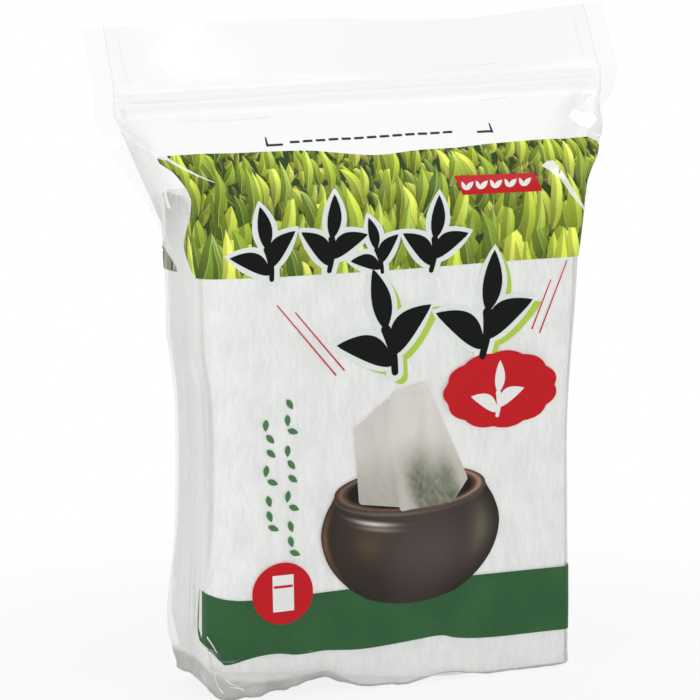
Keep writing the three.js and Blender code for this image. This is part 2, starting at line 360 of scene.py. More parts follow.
    def smooth_point(self, across: Array, level: Array, side: Side) -> Array:
        """Place of the unwrinkled film.

        Args:
            across: signed distance across the panel from its middle line.
            level: height above the base along the panel.
            side: the panel.

        Returns:
            One row of x, y and z per place.
        """
        half_width, half_depth, seam, corner = self.sizes(across, level, side)
        reach = np.minimum(np.abs(across), self.girth(across, level, side))
        flat = half_width - corner
        arc = corner * math.pi / 2
        angle = np.clip((reach - flat) / corner, 0, math.pi / 2)
        slant = np.hypot(seam - half_width, half_depth - corner)
        share = np.clip((reach - flat - arc) / slant, 0, 1)
        x = np.minimum(reach, flat) + corner * np.sin(angle) + share * (seam - half_width)
        depth = (half_depth - corner + corner * np.cos(angle)) * (1 - share)
        x = np.sign(across) * x
        y = self.softened(x, side.value * depth, level)
        forward, sideways, drop = self.header_shift(x, level)
        z = level + self.base_level * (1 - smooth(level, 0.0, 20.0)) + self.sag(x, y, level) - drop
        return np.column_stack([x + sideways, y - forward, z])

    def ruffle(self, rest: Array, across: Array, level: Array, side: Side) -> Array:
        """Height of the film's wrinkles over the smooth form.

        Args:
            rest: places of the unwrinkled film.
            across: signed distance across the panel.
            level: height above the base.
            side: the panel.

        Returns:
            One height per place.
        """
        reach = np.abs(across)
        left = smooth(-across, 30.0, 40.0)
        flank = smooth(reach, 36.0, 43.0)
        low = 1 - smooth(level, 2.0, 12.0)
        body = 1 - smooth(level, self.shoulder - 16, self.shoulder - 2)
        above = smooth(level, self.shoulder - 10, self.shoulder + 3)
        header = smooth(level, self.zip_high, self.zip_high + 4)
        zip_band = smooth(level, self.zip_low - 2.5, self.zip_low) * (1 - header)
        broad = creases(rest * [1.0, 1.0, 0.35], 17.0, 11)
        sharp = creases(rest * [1.0, 1.0, 0.8], 7.5, 23)
        fine = creases(rest, 3.6, 31, 6)
        height = 0.10 * broad * (1 - low)
        height += flank * body * (0.24 * broad + 0.10 * sharp) * (1 + 0.5 * left)
        height += low * (0.35 + 0.75 * smooth(-across, 2.0, 26.0)) * (0.5 * sharp + 0.25 * fine)
        height += above * (1 - header) * (0.16 * broad + 0.10 * sharp + flank * (0.3 * sharp + 0.12 * fine))
        height += header * (0.10 * sharp + 0.16 * broad)
        if side is Side.BACK:
            height += 0.10 * sharp * body * (1 - flank)
        height = np.where(flank * body > 0.3, np.maximum(height, -0.06), height)
        return height * (1 - 0.85 * zip_band)

    def point(self, across: Array, level: Array, side: Side, lift: float | Array = 0.0) -> Array:
        """Place on the wrinkled film, or a little off it.

        Args:
            across: signed distance across the panel from its middle line.
            level: height above the base along the panel.
            side: the panel.
            lift: distance outward from the film's surface.

        Returns:
            One row of x, y and z per place.
        """
        step = 0.15
        rest = self.smooth_point(across, level, side)
        girth = self.girth(across, level, side)
        inside = np.clip(across, -(girth - step), girth - step)
        along = self.smooth_point(inside + step, level, side)
        along = along - self.smooth_point(inside - step, level, side)
        safe = np.maximum(level, step)
        up = self.smooth_point(inside, safe + step, side) - self.smooth_point(inside, safe - step, side)
        normal = np.cross(along, up) * -side.value
        normal /= np.maximum(np.linalg.norm(normal, axis=1, keepdims=True), 1e-9)
        edge = smooth(girth - np.abs(across), 0.0, 2.5)
        height = self.ruffle(rest, across, level, side) * edge + lift
        return rest + normal * height[:, None]

    def wear(self, across: Array, level: Array, side: Side) -> Array:
        """Share by which handling has clouded the film, from 0 to 1, more over the hollow folds to carry
        their painted shade.

        Args:
            across: signed distance across the panel.
            level: height above the base.
            side: the panel.

        Returns:
            One share per place.
        """
        rest = self.smooth_point(across, level, side)
        reach = np.abs(across)
        low = 1 - smooth(level, 2.5, 8.0)
        under = self.under(rest[:, 0], level)
        flank = smooth(reach, 35.0, 40.0) * (1 - smooth(level, self.shoulder - 10, self.shoulder + 2))
        folds = np.clip(creases(rest * [1.0, 1.0, 0.7], 6.0, 61) * 1.6, 0, 1)
        clouds = 0.5 + 0.5 * creases(rest, 14.0, 67)
        above = smooth(level, self.shoulder, self.zip_low) * (1 - smooth(level, self.zip_low, self.zip_high))
        gusset = smooth(reach, 40.0, 47.0) * smooth(level, self.shoulder - 12, self.shoulder + 2)
        worn = 0.40 * low * (0.6 + 0.4 * clouds) + flank * (0.70 + 0.14 * folds) + 0.16 * above * folds
        # Over the hollow folds below the lowest filter the film is made nearly opaque, so that its painted
        # shade shows.
        worn = worn + under * (0.62 + 0.4 * clouds)
        streaks = np.clip(creases(rest * [1.0, 1.0, 0.4], 13.0, 73) * 1.5, 0, 1)
        header = smooth(level, self.zip_high + 1, self.zip_high + 5) * streaks
        # The side gussets below the zip are clouded more, which carries their painted shade, and the header a
        # little along its streaks.
        worn = worn + 0.42 * gusset * (1 - smooth(level, self.zip_low - 4, self.zip_high)) + 0.08 * header
        return np.clip(worn, 0, 1)

    def under(self, x: Array, level: Array) -> Array:
        """Share by which a place lies below the lowest filter, over the hollow folds."""
        edge = np.interp(x, *zip(*self.hollow_edge))
        return 1 - smooth(level, edge - 0.6, edge + 0.3)

    def shade(self, across: Array, level: Array, side: Side) -> Array:
        """Share of painted shade on the film: over the base's hollow folds, on the gussets by the shoulder,
        and faintly above the zip.

        Args:
            across: signed distance across the panel.
            level: height above the base.
            side: the panel.

        Returns:
            One share per place.
        """
        rest = self.smooth_point(across, level, side)
        reach = np.abs(across)
        under = self.under(rest[:, 0], level)
        clouds = 0.5 + 0.5 * creases(rest * [1.0, 1.0, 1.6], 8.0, 71)
        gusset = smooth(reach, 40.0, 46.0) * smooth(level, self.shoulder - 16, self.shoulder)
        gusset = gusset * (1 - smooth(level, self.zip_low - 8, self.zip_low))
        header = 0.1 * smooth(level, self.zip_low, self.zip_high)
        # Painted shade under the lowest filter and on the gussets, with a faint even grey above the zip.
        return np.clip(under * (0.7 + 0.4 * clouds) + 0.4 * gusset * (0.7 + 0.6 * clouds) + header, 0, 1)

    def profile(self, x: Array, level: Array, side: Array) -> Array:
        """Share of the body's depth that the film leaves at each place across it.

        Args:
            x: signed distance from the middle plane.
            level: height above the base.
            side: below 0 in the front half and above 0 in the back half.

        Returns:
            The share, 1 over the flat of the panel and less towards its upright edges.
        """
        shares = []
        for panel in Side:
            half_width, half_depth, _, corner = self.sizes(x, level, panel)
            over = np.clip((np.abs(x) - half_width + corner) / corner, 0, 0.97)
            depth = half_depth - corner + corner * np.sqrt(1 - over**2)
            shares.append(np.abs(self.softened(x, panel.value * depth, level)) / self.half_depth)
        return np.where(side < 0, shares[0], shares[1])

    def reach(self, x: Array, level: Array) -> Array:
        """Half width of the film on the side of each place."""
        return self.sizes(x, level, Side.BACK)[0]

    def to_frame(self, points: Array) -> Array:
        """Turns millimetres round the pouch's middle into metres of the frame."""
        return (points + [self.middle[0], self.middle[1], 0.0]) * MM


def joint_box(nodes: Sequence[str]) -> tuple[Array, Array]:
    """Lowest and highest corner round several solids of the frame, in millimetres.

    Args:
        nodes: names of the solids.

    Returns:
        The two corners.
    """
    boxes = [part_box(name) for name in nodes]
    low = np.min([np.array(box[0]) for box in boxes], axis=0)
    high = np.max([np.array(box[1]) for box in boxes], axis=0)
    return low / MM, high / MM


def make_object(
    name: str,
    points: Array,
    faces: Sequence[Sequence[int]],
    material: Finish,
    flat_uv: Array | None = None,
) -> Piece:
    """Makes a smooth mesh object that rides on the pack.

    Args:
        name: the piece's name.
        points: vertices in metres of the frame.
        faces: vertex numbers of each face.
        material: the finish.
        flat_uv: place of each vertex on the flat print, in centimetres.

    Returns:
        The new object.
    """
    mesh = bpy.data.meshes.new(name)
    mesh.from_pydata([tuple(p) for p in points], [], [tuple(f) for f in faces])
    mesh.update()
    if flat_uv is not None:
        layer = mesh.uv_layers.new(name="flat_print")
        corners = np.zeros(len(mesh.loops), dtype=np.int64)
        mesh.loops.foreach_get("vertex_index", corners)
        layer.data.foreach_set("uv", flat_uv[corners].astype(np.float32).ravel())
    mesh.shade_smooth()
    mesh.materials.append(material)
    piece = bpy.data.objects.new(name, mesh)
    bpy.context.scene.collection.objects.link(piece)
    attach(piece, BODY)
    return piece


def grid_faces(rows: int, columns: int, closed: bool = False) -> list[tuple[int, ...]]:
    """Quads of a grid of vertices laid out row by row.

    Args:
        rows: number of rows.
        columns: vertices in a row.
        closed: joins the end of each row to its start.

    Returns:
        Four vertex numbers per face.
    """
    faces = []
    last = columns if closed else columns - 1
    for row in range(rows - 1):
        for column in range(last):
            a = row * columns + column
            b = row * columns + (column + 1) % columns
            faces.append((a, b, b + columns, a + columns))
    return faces


# Shader building


class NodeTree:
    """A small writer of shader nodes, for materials and node groups."""

    def __init__(self, tree: bpy.types.NodeTree) -> None:
        """Keeps the tree that the nodes go into."""
        self.tree = tree

    def node(self, kind: str, inputs: dict | None = None, **settings) -> bpy.types.Node:
        """Adds a node.

        Args:
            kind: the node's type name.
            inputs: socket name or number to a value or to another node's output.
            **settings: properties of the node.

        Returns:
            The new node.
        """
        made = self.tree.nodes.new(kind)
        for key, value in settings.items():
            setattr(made, key, value)
        for key, value in (inputs or {}).items():
            self.feed(made.inputs[key], value)
        return made

    def feed(self, socket: Socket, value: object) -> None:
        """Links an output to a socket, or sets the socket's value.

        Args:
            socket: the input.
            value: an output or a plain value.
        """
        if isinstance(value, Socket):
            self.tree.links.new(value, socket)
        elif isinstance(value, tuple) and socket.type == "RGBA" and len(value) == 3:
            socket.default_value = (*value, 1.0)
        else:
            socket.default_value = value

    def math(self, operation: str, *values: object, clamp: bool = False) -> Socket:
        """Result of a Math node."""
        settings = {"operation": operation, "use_clamp": clamp}
        return self.node("ShaderNodeMath", dict(enumerate(values)), **settings).outputs[0]

    def vector(self, operation: str, *values: object) -> Socket:
        """Vector result of a Vector Math node."""
        return self.node("ShaderNodeVectorMath", dict(enumerate(values)), operation=operation).outputs[0]

    def mix(self, share: object, first: object, second: object, blend: str = "MIX") -> Socket:
        """Colour mix of two colours."""
        inputs = {"Factor": share, "A": first, "B": second}
        return self.node("ShaderNodeMix", inputs, data_type="RGBA", blend_type=blend).outputs["Result"]

    def remap(
        self, value: object, low: float, high: float, to_low: float = 0.0, to_high: float = 1.0
    ) -> Socket:
        """Smooth remap of a value's range."""
        inputs = {"Value": value, "From Min": low, "From Max": high, "To Min": to_low, "To Max": to_high}
        return self.node("ShaderNodeMapRange", inputs, interpolation_type="SMOOTHSTEP").outputs[0]

    def noise(self, vector: object, scale: object, detail: float) -> Socket:
        """Value of a Noise Texture node."""
        inputs = {"Vector": vector, "Scale": scale, "Detail": detail}
        return self.node("ShaderNodeTexNoise", inputs).outputs[0]

    def group(self, shared: bpy.types.NodeTree, inputs: dict) -> bpy.types.Node:
        """Places a shared node group with its own values."""
        return self.node("ShaderNodeGroup", inputs, node_tree=shared)


def new_group(name: str, inputs: Sequence[tuple], outputs: Sequence[tuple]) -> tuple:
    """Starts a shader node group with named sockets.

    Args:
        name: the group's name.
        inputs: socket name, socket type and starting value of each input.
        outputs: socket name and socket type of each output.

    Returns:
        The group, a writer for it, its input node's outputs and its output node.
    """
    group = bpy.data.node_groups.new(name, "ShaderNodeTree")
    for label, kind, value in inputs:
        socket = group.interface.new_socket(name=label, in_out="INPUT", socket_type=kind)
        if value is not None:
            socket.default_value = value
    for label, kind in outputs:
        group.interface.new_socket(name=label, in_out="OUTPUT", socket_type=kind)
    writer = NodeTree(group)
    entry = writer.node("NodeGroupInput")
    leave = writer.node("NodeGroupOutput")
    return group, writer, entry.outputs, leave


FLOAT = "NodeSocketFloat"
VECTOR = "NodeSocketVector"
COLOR = "NodeSocketColor"


def crinkle_group() -> bpy.types.NodeTree:
    """Fine crinkles of thin film, as a height and a mask of the sharpest folds.

    Returns:
        The node group.
    """
    group, w, given, out = new_group(
        "film_crinkle",
        [("Vector", VECTOR, None), ("Scale", FLOAT, 200.0), ("Sharpness", FLOAT, 0.5)],
        [("Height", FLOAT), ("Folds", FLOAT)],
    )
    ridged = w.node(
        "ShaderNodeTexNoise",
        {"Vector": given["Vector"], "Scale": given["Scale"], "Detail": 3.0, "Distortion": 0.6},
        noise_type="RIDGED_MULTIFRACTAL",
    )
    soft = w.noise(given["Vector"], w.math("MULTIPLY", given["Scale"], 0.35), 2.0)
    sharp = w.math("MULTIPLY", ridged.outputs[0], given["Sharpness"])
    height = w.math("ADD", sharp, soft)
    folds = w.remap(ridged.outputs[0], 1.15, 1.9)
    w.feed(out.inputs["Height"], height)
    w.feed(out.inputs["Folds"], folds)
    return group


def speckle_group() -> bpy.types.NodeTree:
    """Slight unevenness of printed ink, as a factor round 1.

    Returns:
        The node group.
    """
    group, w, given, out = new_group(
        "ink_speckle",
        [("Vector", VECTOR, None), ("Scale", FLOAT, 3000.0), ("Amount", FLOAT, 0.12)],
        [("Factor", FLOAT)],
    )
    grain = w.noise(given["Vector"], given["Scale"], 2.0)
    broad = w.noise(given["Vector"], w.math("MULTIPLY", given["Scale"], 0.03), 1.0)
    both = w.math("ADD", grain, broad)
    centred = w.math("SUBTRACT", both, 1.0)
    w.feed(out.inputs["Factor"], w.math("MULTIPLY_ADD", centred, given["Amount"], 1.0))
    return group


def fibre_group() -> bpy.types.NodeTree:
    """Long fibres of nonwoven paper, as a height and a density of the sheet.

    Returns:
        The node group.
    """
    group, w, given, out = new_group(
        "nonwoven_fibres",
        [("Vector", VECTOR, None), ("Scale", FLOAT, 900.0), ("Stretch", FLOAT, 0.12)],
        [("Height", FLOAT), ("Density", FLOAT)],
    )
    heights = []
    for index, angle in enumerate((0.0, 0.35, -0.3)):
        turned = w.node(
            "ShaderNodeVectorRotate", {"Vector": given["Vector"], "Angle": angle}, rotation_type="Y_AXIS"
        )
        stretch = w.node("ShaderNodeCombineXYZ", {"X": 1.0, "Y": 1.0, "Z": given["Stretch"]})
        drawn = w.vector("MULTIPLY", turned.outputs[0], stretch.outputs[0])
        heights.append(w.noise(drawn, w.math("MULTIPLY", given["Scale"], 1.0 + 0.3 * index), 3.0))
    total = w.math("ADD", w.math("ADD", heights[0], heights[1]), heights[2])
    cloud = w.noise(given["Vector"], w.math("MULTIPLY", given["Scale"], 0.12), 3.0)
    density = w.math("MULTIPLY_ADD", total, 0.5, w.math("MULTIPLY", cloud, 0.6))
    w.feed(out.inputs["Height"], total)
    w.feed(out.inputs["Density"], w.remap(density, 0.75, 1.35))
    return group


def leaf_group() -> bpy.types.NodeTree:
    """One scattered layer of pointed leaves, laid over the colour under it.

    Returns:
        The node group.
    """
    group, w, given, out = new_group(
        "leaf_layer",
        [
            ("Vector", VECTOR, None),
            ("Scale", FLOAT, 2.0),
            ("Tilt", FLOAT, 0.0),
            ("Spread", FLOAT, 1.6),
            ("Length", FLOAT, 0.75),
            ("Width", FLOAT, 0.26),
            ("Shade", FLOAT, 1.0),
            ("Under", COLOR, None),
        ],
        [("Colour", COLOR)],
    )
    scaled = w.vector("SCALE", given["Vector"])
    w.feed(scaled.node.inputs["Scale"], given["Scale"])
    cells = w.node("ShaderNodeTexVoronoi", {"Vector": scaled, "Scale": 1.0}, voronoi_dimensions="2D")
    local = w.vector("SUBTRACT", scaled, cells.outputs["Position"])
    dice = w.node("ShaderNodeSeparateColor", {"Color": cells.outputs["Color"]})
    turn = w.math("SUBTRACT", dice.outputs[0], 0.5)
    angle = w.math("MULTIPLY_ADD", turn, given["Spread"], given["Tilt"])
    turned = w.node("ShaderNodeVectorRotate", {"Vector": local, "Angle": angle}, rotation_type="Z_AXIS")
    place = w.node("ShaderNodeSeparateXYZ", {"Vector": turned.outputs[0]})
    along = w.math("DIVIDE", place.outputs["Y"], given["Length"])
    bulge = w.math("SUBTRACT", 1.0, w.math("MULTIPLY", along, along), clamp=True)
    taper = w.math("MULTIPLY_ADD", along, -0.35, 1.0)
    half = w.math("MULTIPLY", w.math("MULTIPLY", bulge, taper), given["Width"])
    curved = w.math("MULTIPLY_ADD", w.math("MULTIPLY", along, along), 0.12, place.outputs["X"])
    off_rib = w.math("ABSOLUTE", curved)
    inside = w.math("SUBTRACT", half, off_rib)
    cover = w.remap(inside, 0.0, 0.02)
    tone = w.node("ShaderNodeValToRGB", {"Fac": dice.outputs[1]})
    ramp = tone.color_ramp
    stops = (
        (0.0, (0.10, 0.17, 0.022)), (0.3, (0.24, 0.34, 0.03)),
        (0.65, (0.42, 0.53, 0.045)), (1.0, (0.66, 0.72, 0.10)),
    )
    while len(ramp.elements) < len(stops):
        ramp.elements.new(0.5)
    for element, (position, colour) in zip(ramp.elements, stops):
        element.position = position
        element.color = (*colour, 1.0)
    lit_half = w.remap(curved, -0.03, 0.03, 0.66, 1.16)
    tip = w.remap(along, -1.0, 0.7, 0.42, 1.2)
    veins = w.math("SINE", w.math("MULTIPLY_ADD", along, 34.0, w.math("MULTIPLY", off_rib, 60.0)))
    veined = w.math("MULTIPLY_ADD", veins, 0.06, 1.0)
    rim = w.remap(inside, 0.0, 0.05, 0.72, 1.0)
    light = w.math("MULTIPLY", w.math("MULTIPLY", lit_half, tip), w.math("MULTIPLY", veined, rim))
    light = w.math("MULTIPLY", light, given["Shade"])
    leaf = w.vector("SCALE", tone.outputs["Color"])
    w.feed(leaf.node.inputs["Scale"], light)
    rib = w.remap(off_rib, 0.006, 0.02, 0.4, 0.0)
    ribbed = w.mix(rib, leaf, (0.66, 0.78, 0.25))
    off_streak = w.math("ABSOLUTE", w.math("SUBTRACT", curved, w.math("MULTIPLY", half, 0.5)))
    streak = w.remap(off_streak, 0.0, 0.045, 0.5, 0.0)
    wet = w.remap(dice.outputs[2], 0.5, 0.75)
    shine = w.math("MULTIPLY", w.math("MULTIPLY", streak, wet), w.remap(along, -0.4, 0.4))
    shone = w.mix(shine, ribbed, (0.80, 0.86, 0.50))
    w.feed(out.inputs["Colour"], w.mix(cover, given["Under"], shone))
    return group


@dataclass
class Effects:
    """The node groups that several finishes share."""

    crinkle: bpy.types.NodeTree = field(default_factory=crinkle_group)
    speckle: bpy.types.NodeTree = field(default_factory=speckle_group)
    fibres: bpy.types.NodeTree = field(default_factory=fibre_group)
    leaves: bpy.types.NodeTree = field(default_factory=leaf_group)


def new_material(name: str) -> tuple[Finish, NodeTree, bpy.types.Node]:
    """Starts a material and gives it with a node writer and its Principled shader.

    Args:
        name: the material's name.

    Returns:
        The material, a writer of its nodes and its shader.
    """
    material = bpy.data.materials.new(name)
    material.use_nodes = True
    shader = material.node_tree.nodes["Principled BSDF"]
    return material, NodeTree(material.node_tree), shader


@dataclass(frozen=True)
class FilmFinish:
    """Clear plastic film, softly crinkled, hazier along its sharp folds and seen edge-on, darkened by painted
    shade from the mesh.
    """

    name: str
    tint: Colour = (0.86, 0.87, 0.85)
    # Colour of the painted shade that the mesh's shade attribute mixes in.
    painted_shade_tint: Colour = (0.36, 0.36, 0.335)
    haze: float = 0.12
    fold_haze: float = 0.86
    edge_haze: float = 0.22
    roughness: float = 0.16
    fold_roughness: float = 0.42
    fold_share: float = 0.22
    crinkle_scale: float = 130.0
    crinkle_height: float = 0.0004

    def build(self, effects: Effects) -> Finish:
        """Makes the material.

        Args:
            effects: the shared node groups.

        Returns:
            The material.
        """
        material, w, shader = new_material(self.name)
        place = w.node("ShaderNodeTexCoord").outputs["Object"]
        crinkle = w.group(effects.crinkle, {"Vector": place, "Scale": self.crinkle_scale, "Sharpness": 0.35})
        folds = crinkle.outputs["Folds"]
        worn = w.node("ShaderNodeAttribute", attribute_name="crease").outputs["Fac"]
        marks = w.math("MULTIPLY_ADD", folds, self.fold_share, worn, clamp=True)
        # Painted shade: the mesh's shade attribute darkens the film's colour towards the painted shade tint.
        painted_shade = w.node("ShaderNodeAttribute", attribute_name="shade").outputs["Fac"]
        w.feed(shader.inputs["Base Color"], w.mix(painted_shade, self.tint, self.painted_shade_tint))
        w.feed(shader.inputs["Roughness"], w.remap(marks, 0.0, 1.0, self.roughness, self.fold_roughness))
        shader.inputs["IOR"].default_value = 1.5
        shader.inputs["Specular IOR Level"].default_value = 0.8
        facing = w.node("ShaderNodeLayerWeight", {"Blend": 0.35}).outputs["Facing"]
        grazing = w.math("POWER", facing, 2.5)
        haze = w.remap(marks, 0.0, 1.0, self.haze, self.fold_haze)
        alpha = w.math("MULTIPLY_ADD", grazing, self.edge_haze, haze, clamp=True)
        w.feed(shader.inputs["Alpha"], alpha)
        height = crinkle.outputs["Height"]
        bump = w.node("ShaderNodeBump", {"Height": height, "Distance": self.crinkle_height})
        w.feed(shader.inputs["Normal"], bump.outputs[0])
        return material


@dataclass(frozen=True)
class PaperFinish:
    """White nonwoven filter paper."""

    name: str = "white_nonwoven"
    thick: Colour = (0.86, 0.87, 0.855)
    thin: Colour = (0.74, 0.75, 0.735)

    def build(self, effects: Effects) -> Finish:
        """Makes the material.

        Args:
            effects: the shared node groups.

        Returns:
            The material.
        """
        material, w, shader = new_material(self.name)
        place = w.node("ShaderNodeTexCoord").outputs["Object"]
        fibres = w.group(effects.fibres, {"Vector": place, "Scale": 1400.0, "Stretch": 0.1})
        w.feed(shader.inputs["Base Color"], w.mix(fibres.outputs["Density"], self.thin, self.thick))
        shader.inputs["Roughness"].default_value = 0.92
        shader.inputs["Specular IOR Level"].default_value = 0.25
        shader.inputs["Sheen Weight"].default_value = 0.12
        height = fibres.outputs["Height"]
        bump = w.node("ShaderNodeBump", {"Height": height, "Distance": 0.00006, "Strength": 0.7})
        w.feed(shader.inputs["Normal"], bump.outputs[0])
        return material


@dataclass(frozen=True)
class InkFinish:
    """Printed ink under the gloss of the film. With no colour it shows the mesh's own tones."""

    name: str
    colour: Colour | None = None
    speckle: float = 0.12
    specular: float = 0.12
    coat: float = 0.06

    def build(self, effects: Effects) -> Finish:
        """Makes the material.

        Args:
            effects: the shared node groups.

        Returns:
            The material.
        """
        material, w, shader = new_material(self.name)
        place = w.node("ShaderNodeTexCoord").outputs["Object"]
        base: object = self.colour
        if self.colour is None:
            base = w.node("ShaderNodeAttribute", attribute_name="tone").outputs["Color"]
        w.feed(shader.inputs["Base Color"], self.printed(w, effects, place, base))
        crinkle = w.group(effects.crinkle, {"Vector": place, "Scale": 130.0, "Sharpness": 0.35})
        bump = w.node("ShaderNodeBump", {"Height": crinkle.outputs["Height"], "Distance": 0.00028})
        w.feed(shader.inputs["Normal"], bump.outputs[0])
        shader.inputs["Roughness"].default_value = 0.5
        shader.inputs["Specular IOR Level"].default_value = self.specular
        shader.inputs["Coat Weight"].default_value = self.coat
        shader.inputs["Coat Roughness"].default_value = 0.12
        return material

    def printed(self, w: NodeTree, effects: Effects, place: object, base: object) -> Socket:
        """Ink colour with its speckle.

        Args:
            w: writer of the material's nodes.
            effects: the shared node groups.
            place: the object's coordinates.
            base: the even colour or the socket that gives it.

        Returns:
            The colour socket.
        """
        speckle = w.group(effects.speckle, {"Vector": place, "Scale": 3200.0, "Amount": self.speckle})
        tinted = w.node("ShaderNodeVectorMath", operation="SCALE")
        w.feed(tinted.inputs[0], base)
        w.feed(tinted.inputs["Scale"], speckle.outputs["Factor"])
        return tinted.outputs[0]


@dataclass(frozen=True)
class LeafBandFinish(InkFinish):
    """Printed field of young tea leaves, larger towards its lower edge."""

    name: str = "leaf_field_print"
    colour: Colour | None = (0.022, 0.05, 0.012)
    grey_share: float = 0.0

    def printed(self, w: NodeTree, effects: Effects, place: object, base: object) -> Socket:
        """Leaf layers from small and dark at the back to large and bright in front.

        Args:
            w: writer of the material's nodes.
            effects: the shared node groups.
            place: the object's coordinates.
            base: the colour between the leaves.

        Returns:
            The colour socket.
        """
        flat = w.node("ShaderNodeUVMap", uv_map="flat_print").outputs[0]
        warp = w.node("ShaderNodeTexNoise", {"Vector": flat, "Scale": 1.3, "Detail": 1.0})
        centred = w.vector("SUBTRACT", warp.outputs["Color"], (0.5, 0.5, 0.5))
        bent = w.vector("MULTIPLY_ADD", centred, (0.14, 0.14, 0.0), flat)
        colour: object = base
        height = w.node("ShaderNodeSeparateXYZ", {"Vector": flat}).outputs["Y"]
        near = w.remap(height, 8.0, 10.6, 1.12, 0.72)
        layers = (
            (4.4, 1.10, 0.90, 0.0, 2.4, 0.80, 0.32, 0.28, 3.1),
            (3.4, 1.12, 0.84, 0.4, 2.0, 0.80, 0.34, 0.50, 7.7),
            (2.7, 1.15, 0.78, -0.3, 1.7, 0.80, 0.34, 0.80, 1.9),
            (2.2, 1.18, 0.72, 0.2, 1.4, 0.80, 0.33, 1.00, 5.3),
            (1.75, 1.22, 0.66, -0.15, 1.2, 0.76, 0.30, 1.15, 12.4),
            (1.4, 1.28, 0.60, 0.12, 1.1, 0.66, 0.24, 1.30, 9.1),
        )
        for scale, squeeze, stretch, tilt, spread, length, width, shade, shift in layers:
            moved = w.vector("ADD", bent, (shift, 1.7 * shift, 0.0))
            narrow = w.vector("MULTIPLY", moved, (squeeze, stretch, 1.0))
            layer = w.group(
                effects.leaves,
                {
                    "Vector": narrow,
                    "Scale": scale,
                    "Tilt": tilt,
                    "Spread": spread,
                    "Length": w.math("MULTIPLY", near, length),
                    "Width": w.math("MULTIPLY", near, width),
                    "Shade": shade,
                    "Under": colour,
                },
            )
            colour = layer.outputs["Colour"]
        if self.grey_share > 0:
            grey = w.node("ShaderNodeRGBToBW", {"Color": colour}).outputs[0]
            dim = w.vector("SCALE", w.node("ShaderNodeCombineXYZ", {0: grey, 1: grey, 2: grey}).outputs[0])
            dim.node.inputs["Scale"].default_value = 0.5
            colour = w.mix(self.grey_share, colour, dim)
        return super().printed(w, effects, place, colour)


# The pouch


